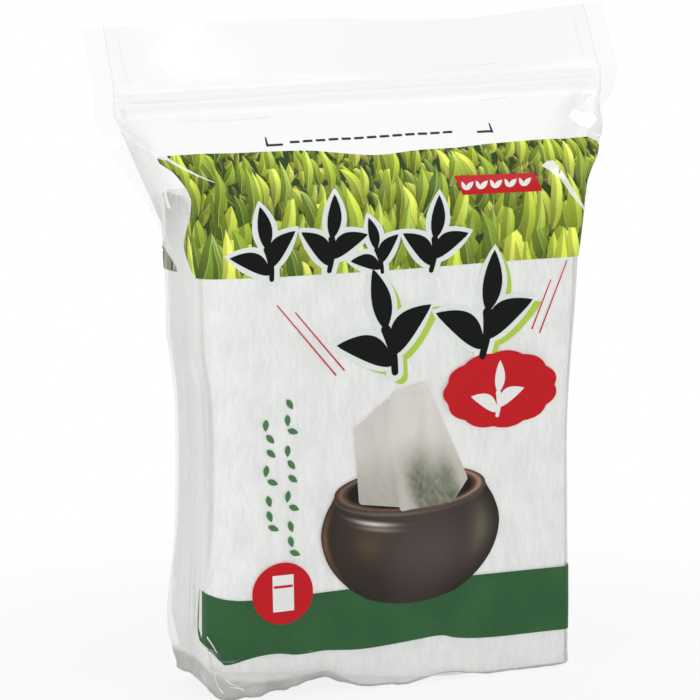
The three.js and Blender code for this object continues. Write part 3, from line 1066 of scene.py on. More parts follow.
@dataclass
class PouchSkin:
    """The clear film of the pouch, with its side seals and tucked corners."""

    form: PouchForm
    finish: Finish
    seal_finish: Finish
    columns: int = 121
    row_step: float = 1.15
    base_rows: int = 12
    left_fold: float = -62.0
    right_folds: tuple[Point, ...] = ((103, 80), (105.5, 58), (107.5, 42), (109.5, 24), (111, 20), (115, 0))

    def build(self) -> list[Piece]:
        """Makes the film, the seals and the ears.

        Returns:
            The new pieces.
        """
        pieces = [self.skin()]
        pieces += [self.seal(sign, name) for sign, name in ((-1, "left"), (1, "right"))]
        pieces += [self.ear(sign, name) for sign, name in ((-1, "left"), (1, "right"))]
        for piece in pieces:
            piece.visible_shadow = False
        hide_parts("pouch_film")
        return pieces

    def levels(self) -> Array:
        """Levels of the film's rows, closer together at the base and round the zip.

        Returns:
            The levels, from the base up.
        """
        form = self.form
        rows = int((form.top_level - 3.0) / self.row_step)
        even = np.linspace(3.0, form.top_level, rows)
        base = np.array([0.0, 0.25, 0.6, 1.1, 1.7, 2.3])
        folds = np.array([form.shoulder, form.zip_low, form.zip_high, form.zip_high + form.header_neck])
        return np.unique(np.concatenate([base, even, folds]))

    def skin(self) -> Piece:
        """Front and back panels in one loop, closed across the base.

        Returns:
            The new piece.
        """
        form = self.form
        share = np.linspace(-1, 1, self.columns)
        rings = []
        worn: list[Array] = []
        painted_shade: list[Array] = []
        for level in self.levels():
            height = np.full(self.columns, level)
            front = form.point(share * form.girth(share, height, Side.FRONT), height, Side.FRONT)
            back = form.point(share * form.girth(share, height, Side.BACK), height, Side.BACK)
            back = back[::-1][1:-1]
            rings.append(np.vstack([front, back]))
            for marks, made in ((worn, form.wear), (painted_shade, form.shade)):
                front_mark = made(share * form.girth(share, height, Side.FRONT), height, Side.FRONT)
                back_mark = made(share * form.girth(share, height, Side.BACK), height, Side.BACK)
                marks += [front_mark, back_mark[::-1][1:-1]]
        count = len(rings[0])
        faces = grid_faces(len(rings), count, closed=True)
        points = np.vstack(rings)
        foot = rings[0]
        sheet = [foot[: self.columns]]
        rear = np.vstack([foot[0:1], foot[self.columns :][::-1], foot[self.columns - 1 : self.columns]])
        base = len(points)
        for row in range(1, self.base_rows):
            mixed = foot[: self.columns] + (rear - foot[: self.columns]) * row / self.base_rows
            mixed = mixed[1:-1].copy()
            mixed[:, 2] += 0.12 * creases(mixed, 6.0, 5) * math.sin(math.pi * row / self.base_rows)
            sheet.append(mixed)
        points = np.vstack([points, *sheet[1:]])
        inner = self.columns - 2

        def number(row: int, column: int) -> int:
            """Vertex of the base sheet at a row and a column.

            Args:
                row: from 0 at the front edge.
                column: from 0 at the left seam.

            Returns:
                The vertex number.
            """
            if column in (0, self.columns - 1):
                return column
            if row == 0:
                return column
            if row == self.base_rows:
                return count - column
            return base + (row - 1) * inner + column - 1

        for row in range(self.base_rows):
            for column in range(self.columns - 1):
                corners = [
                    number(row, column),
                    number(row + 1, column),
                    number(row + 1, column + 1),
                    number(row, column + 1),
                ]
                ordered = list(dict.fromkeys(corners))
                if len(ordered) > 2:
                    faces.append(tuple(ordered))
        piece = make_object("film_skin", form.to_frame(points), faces, self.finish)
        # Clouding and painted shade per vertex; the base sheet under the pack takes painted shade 0.8 and
        # clouding 0.4.
        for label, values, base_value in (("crease", worn, 0.4), ("shade", painted_shade, 0.8)):
            marks = np.full(len(points), base_value, dtype=np.float32)
            marks[: len(rings) * count] = np.concatenate(values)
            piece.data.attributes.new(label, "FLOAT", "POINT").data.foreach_set("value", marks)
        return piece

    def seal(self, sign: int, name: str) -> Piece:
        """The flat welded strip along one side of the bag.

        Args:
            sign: -1 on the left and 1 on the right.
            name: left or right.

        Returns:
            The new piece.
        """
        form = self.form
        levels = self.levels()[3:]
        steps = 6
        share = np.linspace(-0.04, 1.0, steps)
        rows = []
        for level in levels:
            height = np.array([level])
            edge = form.girth(np.array([float(sign)]), height, Side.FRONT)
            root = form.smooth_point(sign * edge, height, Side.FRONT)[0]
            width = form.seal_width * float(smooth(height, -2.0, 6.0)[0])
            turn = math.radians(self.fold_turn(sign, level))
            row = np.tile(root, (steps, 1))
            row[:, 0] += sign * share * width * math.cos(turn)
            row[:, 1] += share * width * math.sin(turn)
            rows.append(row)
        points = np.vstack(rows)
        points[:, 1] += 0.05 * creases(points, 3.0, 41 + sign)
        faces = grid_faces(len(levels), steps)
        return make_object(f"side_seal_{name}", form.to_frame(points), faces, self.seal_finish)

    def fold_turn(self, sign: int, level: float) -> float:
        """Degrees by which a seal lies over, towards the back where above 0.

        Args:
            sign: -1 on the left and 1 on the right.
            level: height above the base.

        Returns:
            The turn in degrees.
        """
        body = 1 - float(smooth(np.array(level), self.form.shoulder - 6.0, self.form.zip_low))
        if sign < 0:
            return self.left_fold * body
        return float(np.interp(level, *zip(*self.right_folds)))

    def ear(self, sign: int, name: str) -> Piece:
        """A boxed bottom corner, folded under the base.

        Args:
            sign: -1 on the left and 1 on the right.
            name: left or right.

        Returns:
            The new piece.
        """
        form = self.form
        steps = 14
        root_x = form.left_half_width - form.left_base_round
        half_base = form.half_depth * 0.8
        reach = form.half_depth + form.seal_width
        rows = []
        for row in range(steps + 1):
            share = row / steps
            across = np.linspace(-1, 1, steps + 1) * half_base * (1 - 0.93 * share)
            x = np.full(steps + 1, sign * (root_x - share * reach))
            root_z = form.base_level + form.sag(x, across, np.zeros(steps + 1)) - 0.12
            fall = smooth(np.full(steps + 1, share), 0.0, 0.45)
            z = np.maximum(root_z * (1 - fall) + 0.05, 0.04)
            rows.append(np.column_stack([x, across, z]))
        points = np.vstack(rows)
        points[:, 2] = np.maximum(points[:, 2] + 0.25 * creases(points, 5.0, 51) * (points[:, 2] > 0.6), 0.04)
        faces = grid_faces(steps + 1, steps + 1)
        return make_object(f"tucked_corner_{name}", form.to_frame(points), faces, self.finish)


@dataclass
class ZipTracks:
    """The press-to-close strips, as thin profiled sheets that stand where their CAD tracks stand."""

    form: PouchForm
    finish: Finish
    columns: int = 70
    rows: int = 41
    wall_gap: float = 0.08

    def build(self) -> list[Piece]:
        """Makes the strip with one ridge and the strip with two.

        Returns:
            The new pieces.
        """
        pieces = [
            self.strip("zip_strip_front", "zip_male_track", 1.0, (0.5,)),
            self.strip("zip_strip_back", "zip_female_track", -1.0, (0.33, 0.67)),
        ]
        for piece in pieces:
            piece.visible_shadow = False
        return pieces

    def strip(self, name: str, node: str, facing: float, ridges: tuple[float, ...]) -> Piece:
        """One strip with ridges along it.

        Args:
            name: the piece's name.
            node: the CAD track that it stands for.
            facing: sign of the direction in which its ridges stand out.
            ridges: place of each ridge, as a share of the strip's height.

        Returns:
            The new object.
        """
        low, high = joint_box([node])
        low, high = low - [*self.form.middle, 0], high - [*self.form.middle, 0]
        climb = np.linspace(0, 1, self.rows)
        stand = sum(bell(climb, ridge, 0.055) for ridge in ridges)
        stand = stand * smooth(climb, 0, 0.1) * smooth(1 - climb, 0, 0.1)
        wall = low[1] + self.wall_gap if facing > 0 else high[1] - self.wall_gap
        depth = (high[1] - low[1] - 2 * self.wall_gap) * facing
        rows = []
        for x in np.linspace(low[0], high[0], self.columns):
            across = np.full(climb.size, x)
            rows.append(np.column_stack([across, wall + depth * stand, low[2] + (high[2] - low[2]) * climb]))
        points = self.form.to_frame(np.vstack(rows))
        piece = make_object(name, points, grid_faces(self.columns, self.rows), self.finish)
        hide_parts(node)
        return piece


@dataclass
class FilterStack:
    """The folded filters, as soft sheets that stand where their CAD pairs stand."""

    form: PouchForm
    finish: Finish
    per_node: int = 2
    width: float = 70.0
    height: float = 95.0
    flap: float = 28.0
    mouth_drop: float = 2.0
    paper: float = 0.1
    gap: float = 0.03
    columns: int = 16
    long_steps: int = 10
    left_lift: float = 5.6
    tilt: float = 0.06
    stray: float = 0.07
    sharp_angle: float = 35.0
    side_room: float = 0.42
    right_top_room: float = 1.3
    depth_room: float = 0.16

    def build(self) -> list[Piece]:
        """Makes one piece for each pair of filters.

        Returns:
            The new pieces.
        """
        pieces = []
        dice = random.Random(7)
        names = sorted(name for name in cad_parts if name.startswith("filter_pair"))
        low, high = joint_box(names)
        pitch = (high[1] - low[1]) / (len(names) * self.per_node)
        for index, name in enumerate(names):
            centre = np.mean(joint_box([name]), axis=0)
            points: list[Array] = []
            faces: list[tuple[int, ...]] = []
            for member in range(self.per_node):
                start = low[1] - self.form.middle[1] + (index * self.per_node + member) * pitch
                tilt = math.radians(dice.uniform(-self.tilt, self.tilt))
                shift = centre[0] - self.form.middle[0] + dice.uniform(-self.stray, self.stray)
                count = sum(len(p) for p in points)
                soft, quads = self.filter_mesh(start, shift, tilt)
                points.append(soft)
                faces += [tuple(v + count for v in quad) for quad in quads]
            number = name.rsplit("_", 1)[1]
            places = self.form.to_frame(np.vstack(points))
            piece = make_object(f"soft_filters_{number}", places, faces, self.finish)
            piece.data.set_sharp_from_angle(angle=math.radians(self.sharp_angle))
            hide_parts(name)
            pieces.append(piece)
        return pieces

    def section(self) -> Array:
        """Outline of the folded strip, seen from the side, as rows of depth and height.

        Returns:
            The outline's points.
        """
        paper, gap = self.paper, self.gap
        front = paper + gap
        pocket = front + paper
        back = pocket + gap
        thick = back + paper
        edge = self.height - self.flap
        mouth = self.height - paper - self.mouth_drop
        top = self.height
        lip = edge + 4.0
        pressed = front - 0.04
        runs = [
            ((pressed, edge), (0, lip), 2),
            ((0, lip), (0, top), self.long_steps // 2),
            ((0, top), (thick, top), 1),
            ((thick, top), (thick, 0), self.long_steps),
            ((thick, 0), (front, 0), 1),
            ((front, 0), (front, mouth), self.long_steps),
            ((front, mouth), (pocket, mouth), 1),
            ((pocket, mouth), (pocket, paper), self.long_steps),
            ((pocket, paper), (back, paper), 1),
            ((back, paper), (back, top - paper), self.long_steps),
            ((back, top - paper), (paper, top - paper), 1),
            ((paper, top - paper), (paper, lip), self.long_steps // 2),
            ((paper, lip), (front - 0.01, edge), 2),
            ((front - 0.01, edge), (pressed, edge), 1),
        ]
        outline = []
        for (y0, z0), (y1, z1), steps in runs:
            for step in range(steps):
                share = step / steps
                outline.append((y0 + (y1 - y0) * share, z0 + (z1 - z0) * share))
        return np.array(outline)

    def filter_mesh(self, start: float, shift: float, tilt: float) -> tuple[Array, list]:
        """One folded filter, bent with the stack.

        Args:
            start: depth of its front face in a square stack.
            shift: sideways stray.
            tilt: turn in its own plane.

        Returns:
            Its vertices in millimetres and its faces.
        """
        outline = self.section()
        ring = len(outline)
        half = self.width / 2
        stations = half * np.sin(np.linspace(-math.pi / 2, math.pi / 2, self.columns))
        rows = []
        for x in stations:
            across = np.full(ring, x)
            y = start + outline[:, 0]
            z = outline[:, 1]
            turned_x = shift + across * math.cos(tilt) - (z - self.height / 2) * math.sin(tilt)
            turned_z = z + across * math.sin(tilt) + half * abs(math.sin(tilt))
            rows.append(self.settle(turned_x, y, turned_z))
        points = np.vstack(rows)
        faces = grid_faces(self.columns, ring, closed=True)
        faces = [tuple(reversed(face)) for face in faces]
        last = (self.columns - 1) * ring
        for i in range(ring // 2 - 1):
            edge = (i, i + 1, ring - 2 - i, ring - 1 - i)
            faces.append(edge)
            faces.append(tuple(last + v for v in reversed(edge)))
        return points, faces

    def settle(self, x: Array, y: Array, z: Array) -> Array:
        """Bends a square stack into the soft one that fills the pouch.

        Args:
            x: distance from the middle plane.
            y: depth.
            z: height above the stack's foot.

        Returns:
            One row of x, y and z per place.
        """
        form = self.form
        level = z + form.stack_base
        room = self.side_room + self.right_top_room * smooth(level, 60.0, form.shoulder) * (x > 0)
        wide = x * (form.reach(x, level) - room) / form.stack_half_width
        fill = (form.half_depth - self.depth_room) / form.stack_half_depth
        ends = 1 - 0.07 * (1 - smooth(z, 0.0, 5.0)) - 0.10 * smooth(z, 86.0, 95.0)
        depth = y * fill * ends * form.profile(wide, level, y) / form.profile(np.zeros_like(x), level, y)
        left = smooth(-x, -16.0, form.stack_half_width)
        lift = self.left_lift * left * (1 - np.clip(z / 60.0, 0, 1)) ** 2
        return np.column_stack([wide, depth, level + lift])


# Print


def leaf_outline(
    root: Point,
    angle: float,
    length: float,
    width: float,
    bend: float = 0.0,
    grow: float = 0.0,
    steps: int = 14,
) -> list[Point]:
    """Closed outline of a pointed leaf.

    Args:
        root: where the leaf starts.
        angle: direction of the leaf, in degrees from straight up, clockwise.
        length: length from root to tip.
        width: greatest width.
        bend: sideways bow of its middle line, as a share of the length.
        grow: distance by which the outline is moved outward.
        steps: points along each edge.

    Returns:
        Points of the outline.
    """
    turn = math.radians(angle)
    along = (math.sin(turn), math.cos(turn))
    side = (math.cos(turn), -math.sin(turn))
    left, right = [], []
    for i in range(steps + 1):
        t = i / steps
        reach = -grow + t * (length + 2 * grow)
        half = (width / 2 + grow) * math.sin(math.pi * t**0.85) ** 0.85 if 0 < t < 1 else 0.0
        bow = bend * length * math.sin(math.pi * t)
        middle = (root[0] + along[0] * reach + side[0] * bow, root[1] + along[1] * reach + side[1] * bow)
        left.append((middle[0] - side[0] * half, middle[1] - side[1] * half))
        if 0 < i < steps:
            right.append((middle[0] + side[0] * half, middle[1] + side[1] * half))
    return left + right[::-1]


def stroke_outline(
    start: Point,
    end: Point,
    width: float,
    end_width: float | None = None,
    bend: float = 0.0,
    grow: float = 0.0,
) -> list[Point]:
    """Closed outline of a drawn stroke with round ends.

    Args:
        start: first end.
        end: other end.
        width: width at the start.
        end_width: width at the end, the same where left out.
        bend: sideways bow as a share of the length.
        grow: distance by which the outline is moved outward.

    Returns:
        Points of the outline.
    """
    end_width = width if end_width is None else end_width
    dx, dz = end[0] - start[0], end[1] - start[1]
    length = math.hypot(dx, dz)
    along = (dx / length, dz / length)
    side = (along[1], -along[0])
    steps = 12

    def middle(t: float) -> Point:
        """Point of the middle line."""
        bow = bend * length * math.sin(math.pi * t)
        return (start[0] + dx * t + side[0] * bow, start[1] + dz * t + side[1] * bow)

    outline = []
    for sign, order in ((-1, range(steps + 1)), (1, range(steps, -1, -1))):
        for i in order:
            t = i / steps
            half = (width + (end_width - width) * t) / 2 + grow
            m = middle(t)
            outline.append((m[0] + sign * side[0] * half, m[1] + sign * side[1] * half))
        cap = middle(1.0) if sign < 0 else middle(0.0)
        radius = (end_width if sign < 0 else width) / 2 + grow
        for k in range(1, 6):
            turn = math.pi * k / 6
            out = -sign * math.sin(turn) * radius
            over = sign * math.cos(turn) * radius
            outline.append(tuple(cap[k] + along[k] * out + side[k] * over for k in (0, 1)))
    return outline


def oval_outline(
    centre: Point,
    half_width: float,
    half_height: float,
    ripple: float = 0.0,
    lobes: int = 12,
    steps: int = 72,
) -> list[Point]:
    """Closed outline of an oval, scalloped where ripple is above 0.

    Args:
        centre: its middle.
        half_width: half its width.
        half_height: half its height.
        ripple: height of a scallop, as a share.
        lobes: number of scallops.
        steps: number of points.

    Returns:
        Points of the outline.
    """
    outline = []
    for i in range(steps):
        turn = 2 * math.pi * i / steps
        reach = 1 + ripple * abs(math.sin(lobes * turn / 2))
        x = centre[0] + half_width * reach * math.cos(turn)
        z = centre[1] + half_height * reach * math.sin(turn)
        outline.append((x, z))
    return outline


@dataclass
class Sprig:
    """A tea shoot: a stem, spreading leaves and a bud at its tip."""

    root: Point
    height: float
    lean: float = 0.0
    leaves: tuple[float, ...] = (-52.0, 48.0)
    leaf_length: float = 0.62
    leaf_width: float = 0.25

    def outlines(self, grow: float = 0.0, shift: Point = (0.0, 0.0)) -> list[list[Point]]:
        """Outlines of the shoot's strokes.

        Args:
            grow: distance by which each outline is moved outward.
            shift: distance by which the whole shoot is moved.

        Returns:
            One closed outline per stroke.
        """
        turn = math.radians(self.lean)
        root = (self.root[0] + shift[0], self.root[1] + shift[1])
        fork = (root[0] + math.sin(turn) * self.height * 0.42, root[1] + math.cos(turn) * self.height * 0.42)
        shapes = [stroke_outline(root, fork, self.height * 0.07, self.height * 0.1, 0.05, grow)]
        shapes.append(
            leaf_outline(fork, self.lean, self.height * 0.6, self.height * self.leaf_width * 0.8, 0.03, grow)
        )
        for index, spread in enumerate(self.leaves):
            share = 0.16 + 0.22 * index
            start = (root[0] + (fork[0] - root[0]) * share, root[1] + (fork[1] - root[1]) * share)
            bend = 0.12 if spread > 0 else -0.12
            shapes.append(
                leaf_outline(
                    start,
                    self.lean + spread,
                    self.height * self.leaf_length,
                    self.height * self.leaf_width,
                    -bend,
                    grow,
                )
            )
        return shapes


@dataclass(frozen=True)
class FieldEdges:
    """The four edges of a printed field.

    The left and right edges give a distance across the panel for shares of the field's height,
    and the bottom and top edges a level for distances across the panel.
    """

    left: tuple[Point, ...]
    right: tuple[Point, ...]
    bottom: tuple[Point, ...]
    top: tuple[Point, ...]


@dataclass
class FrontLayer:
    """Something thin that lies on the front panel and follows the film."""

    form: PouchForm
    effects: Effects
    first_lift: float = 0.07
    corner_lift: float = 0.08
    layer_step: float = 0.02
    cell: float = 0.8

    def lift(self, across: Array) -> Array:
        """Distance of the lowest ink from the film, a little more where the film turns a corner."""
        return self.first_lift + self.corner_lift * smooth(np.abs(across), 31.0, 35.0)

    def patch(
        self,
        name: str,
        outlines: Sequence[Sequence[Point]],
        material: Finish,
        layer: int,
        tone: Callable[[Array, Array], Array] | None = None,
        cell: float | None = None,
    ) -> Piece:
        """Flat shapes cut into small cells and laid on the film.

        Args:
            name: the piece's name.
            outlines: closed outlines as distance across and level.
            material: the ink.
            layer: how many fields lie under this one.
            tone: gives a colour for each place, for inks that have none of their own.
            cell: size of the cells.

        Returns:
            The new object.
        """
        step = cell or self.cell * 1.6
        shapes = bmesh.new()
        for index, outline in enumerate(outlines):
            single = bmesh.new()
            corners = [single.verts.new((x, z, 0.0)) for x, z in outline]
            face = single.faces.new(corners)
            bmesh.ops.triangulate(single, faces=[face])
            cut_in_cells(single, step)
            height = self.layer_step * layer + 0.003 * index
            lookup = []
            for vertex in single.verts:
                lookup.append(shapes.verts.new((vertex.co.x, vertex.co.y, height)))
            single.verts.index_update()
            for face in single.faces:
                shapes.faces.new([lookup[v.index] for v in face.verts])
            single.free()
        shapes.verts.index_update()
        flat = np.array([v.co for v in shapes.verts], dtype=float).reshape(-1, 3)
        faces = [[v.index for v in face.verts] for face in shapes.faces]
        shapes.free()
        points = self.form.point(flat[:, 0], flat[:, 1], Side.FRONT, flat[:, 2] + self.lift(flat[:, 0]))
        if polygon_turn(outlines[0]) < 0:
            faces = [list(reversed(face)) for face in faces]
        piece = make_object(name, self.form.to_frame(points), faces, material, flat[:, :2] / 10)
        if tone is not None:
            colours = np.ones((len(flat), 4), dtype=np.float32)
            colours[:, :3] = tone(flat[:, 0], flat[:, 1])
            attribute = piece.data.color_attributes.new("tone", "FLOAT_COLOR", "POINT")
            attribute.data.foreach_set("color", colours.ravel())
        return piece


@dataclass
class FrontPrint(FrontLayer):
    """All that is printed on the front panel, as thin fields that follow the film."""

    def build(self) -> list[Piece]:
        """Makes every printed field.

        Returns:
            The new pieces.
        """
        pieces = [self.leaf_field(), self.base_band(), *self.title(), *self.marks(), *self.picture()]
        pieces.append(self.back_field())
        for piece in pieces:
            piece.visible_shadow = False
        return pieces

    def ink(self, name: str, colour: Colour, **more) -> Finish:
        """Makes an even ink."""
        return InkFinish(name, colour, **more).build(self.effects)

    def field_grid(self, name: str, edges: FieldEdges, material: Finish, side: Side = Side.FRONT) -> Piece:
        """A printed field from one side of the bag to the other, with slightly uneven edges.

        Args:
            name: the piece's name.
            edges: the field's outline.
            material: the ink.
            side: the panel.

        Returns:
            The new object.
        """
        columns = int(2 * self.form.half_girth / self.cell) + 1
        rows = int((edges.top[0][1] - edges.bottom[0][1]) / self.cell) + 2
        share, climb = np.meshgrid(np.linspace(0, 1, columns), np.linspace(0, 1, rows))
        share, climb = share.ravel(), climb.ravel()
        left = np.interp(climb, *zip(*curve(edges.left)))
        right = np.interp(climb, *zip(*curve(edges.right)))
        across = left + (right - left) * share
        low = np.interp(across, *zip(*curve(edges.bottom)))
        high = np.interp(across, *zip(*curve(edges.top)))
        height = low + (high - low) * climb
        points = self.form.point(across, height, side, self.lift(across))
        uv = np.column_stack([across, self.flat_height(height)]) / 10
        faces = grid_faces(rows, columns)
        if side is Side.BACK:
            faces = [tuple(reversed(face)) for face in faces]
        return make_object(name, self.form.to_frame(points), faces, material, uv)

    def flat_height(self, level: Array) -> Array:
        """Distance up the flat film for a level, longer where the shoulder slopes.

        Args:
            level: height above the base.

        Returns:
            One distance per place.
        """
        form = self.form
        slope = math.hypot(form.zip_low - form.shoulder, form.half_depth) / (form.zip_low - form.shoulder)
        return level + (slope - 1) * np.clip(level - form.shoulder, 0, None)

    def leaf_field(self) -> Piece:
        """The band of young leaves across the top.

        Returns:
            The new piece.
        """
        finish = LeafBandFinish().build(self.effects)
        edges = FieldEdges(
            left=(
                (0.0, -38.8), (0.06, -41.2), (0.16, -42.8), (0.27, -43.0), (0.38, -41.6), (0.49, -40.4),
                (0.64, -39.2), (0.80, -40.6), (0.89, -42.2), (0.96, -44.0), (1.0, -44.0),
            ),
            right=((0.0, 44.0), (0.5, 45.0), (0.8, 46.6), (0.9, 46.4), (0.96, 45.4), (1.0, 43.6)),
            bottom=((-43.0, 81.2), (-35.0, 81.3), (-20.0, 81.1), (0.0, 80.8), (22.0, 80.8), (44.0, 80.6)),
            top=(
                (-44.0, 103.5), (-42.0, 104.1), (-35.0, 104.1), (-27.0, 103.9), (-15.6, 103.7), (-7.0, 102.7),
                (-0.4, 102.1), (8.4, 102.5), (16.6, 102.5), (25.0, 102.9), (33.4, 102.9), (43.6, 102.9),
            ),
        )
        return self.field_grid("print_leaf_field", edges, finish)

    def back_field(self) -> Piece:
        """The grey leaf field of the back, whose end shows round the left edge.

        Returns:
            The new piece.
        """
        finish = LeafBandFinish("back_field_print", grey_share=0.85).build(self.effects)
        edges = FieldEdges(
            left=(
                (0.0, -46.6), (0.08, -45.6), (0.2, -42.6), (0.32, -37.4), (0.45, -36.2), (0.8, -36.0),
                (1.0, -36.6),
            ),
            right=((0.0, 42.0), (0.5, 42.6), (1.0, 41.0)),
            bottom=((-46.6, 81.2), (-37.0, 80.9), (0.0, 80.8), (42.0, 80.8)),
            top=((-37.0, 95.0), (-20.0, 95.4), (0.0, 95.0), (20.0, 95.5), (42.0, 95.0)),
        )
        return self.field_grid("print_back_field", edges, finish, Side.BACK)

    def base_band(self) -> Piece:
        """The plain dark green band round the foot.

        Returns:
            The new piece.
        """
        finish = self.ink("band_green_ink", (0.036, 0.112, 0.045), speckle=0.5, specular=0.08, coat=0.0)
        edges = FieldEdges(
            left=((0.0, -38.0), (0.06, -42.2), (0.2, -43.2), (0.45, -43.2), (0.8, -42.6), (1.0, -42.0)),
            right=((0.0, 44.0), (1.0, 44.2)),
            bottom=(
                (-43.2, 10.6), (-41.0, 10.2), (-36.2, 10.1), (-35.6, 9.6), (-35.1, 8.2), (-34.0, 7.8),
                (-25.0, 9.1), (-16.5, 7.7), (7.0, 8.9), (14.5, 7.7), (36.0, 7.4), (44.0, 7.4),
            ),
            top=(
                (-43.2, 21.9), (-42.0, 21.7), (-37.2, 21.3), (-33.0, 20.5), (-27.4, 20.2), (0.0, 20.5),
                (44.0, 20.1),
            ),
        )
        return self.field_grid("print_base_band", edges, finish)

    def title(self) -> list[Piece]:
        """Dark tea shoots with a pale rim, the larger ones over a lime drop.

        Returns:
            The new pieces.
        """
        small = [
            Sprig((-24.0, 80.8), 13.5, -8.0, (-58.0, 46.0)),
            Sprig((-12.5, 81.6), 14.0, 6.0, (-46.0, 56.0)),
            Sprig((-1.8, 80.6), 10.5, -14.0, (-60.0, 50.0)),
            Sprig((8.2, 80.2), 14.0, 8.0, (-50.0, 52.0)),
        ]
        large = [
            Sprig((0.5, 61.4), 20.0, -12.0, (-56.0, 54.0)),
            Sprig((18.6, 63.0), 20.0, 8.0, (-60.0, 48.0)),
        ]
        rim = [shape for sprig in small + large for shape in sprig.outlines(1.1)]
        drop = [shape for sprig in large for shape in sprig.outlines(0.7, (1.3, -1.1))]
        dark = [shape for sprig in small + large for shape in sprig.outlines()]
        lime = self.ink("lime_ink", (0.42, 0.60, 0.07))
        drops = self.patch("print_shoot_drops", drop, lime, 1)
        white = self.ink("white_ink", (0.74, 0.78, 0.75))
        rims = self.patch("print_shoot_rims", rim, white, 3)
        black = self.ink("dark_ink", (0.007, 0.008, 0.007), specular=0.05, coat=0.03)
        return [drops, rims, self.patch("print_shoots", dark, black, 6)]

    def marks(self) -> list[Piece]:
        """Red label, strokes, badges and small green leaves, with plain signs on them.

        Returns:
            The new pieces.
        """
        red = self.ink("red_ink", (0.52, 0.009, 0.014), speckle=0.10)
        white = self.ink("badge_white_ink", (0.80, 0.80, 0.77))
        label = [(13.6, 97.6), (30.2, 97.2), (31.6, 93.7), (15.0, 94.0)]
        rays = [
            stroke_outline((-23.0, 75.8), (-11.5, 61.8), 0.22, 0.3),
            stroke_outline((-19.4, 74.2), (-9.8, 62.6), 0.22, 0.3),
            stroke_outline((36.6, 80.0), (30.8, 66.5), 0.22, 0.3),
            stroke_outline((33.2, 76.5), (29.2, 67.4), 0.22, 0.3),
        ]
        badge = oval_outline((22.4, 56.2), 11.4, 7.1, 0.06, 11, 132)
        disc = oval_outline((-22.9, 21.0), 6.0, 6.0)
        label_leaves = []
        for i in range(5):
            label_leaves.append(leaf_outline((15.6 + 3.0 * i, 94.9), 52.0, 2.3, 1.0))
            label_leaves.append(leaf_outline((15.6 + 3.0 * i, 94.9), -22.0, 1.7, 0.8))
        leaf_sign = Sprig((21.6, 51.2), 10.5, 4.0, (-62.0, 56.0)).outlines()
        filter_sign = [[(-25.0, 17.6), (-20.8, 17.6), (-20.8, 24.6), (-25.0, 24.6)]]
        fold_sign = [stroke_outline((-24.6, 22.4), (-21.2, 22.4), 0.5)]
        falling = []
        for column, (across, top, count) in enumerate(((-21.4, 58.0, 11), (-25.6, 54.5, 8))):
            for i in range(count):
                turn = 40 * math.sin(2.4 * i + column) + 150
                falling.append(leaf_outline((across, top - 2.9 * i), turn, 2.3, 1.15))
        green = self.ink("leaf_green_ink", (0.07, 0.19, 0.07))
        dashes = [stroke_outline((-17.0 + 2.6 * i, 105.2), (-15.4 + 2.6 * i, 105.2), 0.42) for i in range(13)]
        for sign in (-1, 1):
            end = 1.2 + sign * 23.0
            dashes.append(stroke_outline((end - sign * 3.0, 104.9), (end, 104.9), 0.4))
            dashes.append(stroke_outline((end - 0.02 * sign, 104.9), (end - sign * 0.1, 106.2), 0.55, 0.3))
        black = self.ink("line_ink", (0.03, 0.03, 0.03))
        return [
            self.patch("print_label", [label], red, 8),
            self.patch("print_label_leaves", label_leaves, white, 9),
            self.patch("print_strokes", rays, red, 1),
            self.patch("print_badge", [badge], red, 8),
            self.patch("print_badge_leaves", leaf_sign, white, 9),
            self.patch("print_disc", [disc], red, 8),
            self.patch("print_disc_filter", filter_sign, white, 9),
            self.patch("print_disc_fold", fold_sign, red, 10),
            self.patch("print_falling_leaves", falling, green, 1),
            self.patch("print_closing_line", dashes, black, 1),
        ]

    def picture(self) -> list[Piece]:
        """A brown tea bowl with a filled filter standing in it.

        Returns:
            The new pieces.
        """
        tones = InkFinish("picture_ink", None, speckle=0.10).build(self.effects)
        bowl = TeaBowlPicture()
        fields = (
            ("print_bowl_back", bowl.mouth(), 2, bowl.mouth_tone, 0.25),
            ("print_picture_filter_back", bowl.back_panel(), 4, bowl.back_panel_tone, 0.4),
            ("print_picture_filter_front", bowl.front_panel(), 5, bowl.front_panel_tone, 0.4),
            ("print_bowl", bowl.body(), 6, bowl.body_tone, 0.25),
        )
        return [
            self.patch(name, [shape], tones, layer, tone, cell) for name, shape, layer, tone, cell in fields
        ]


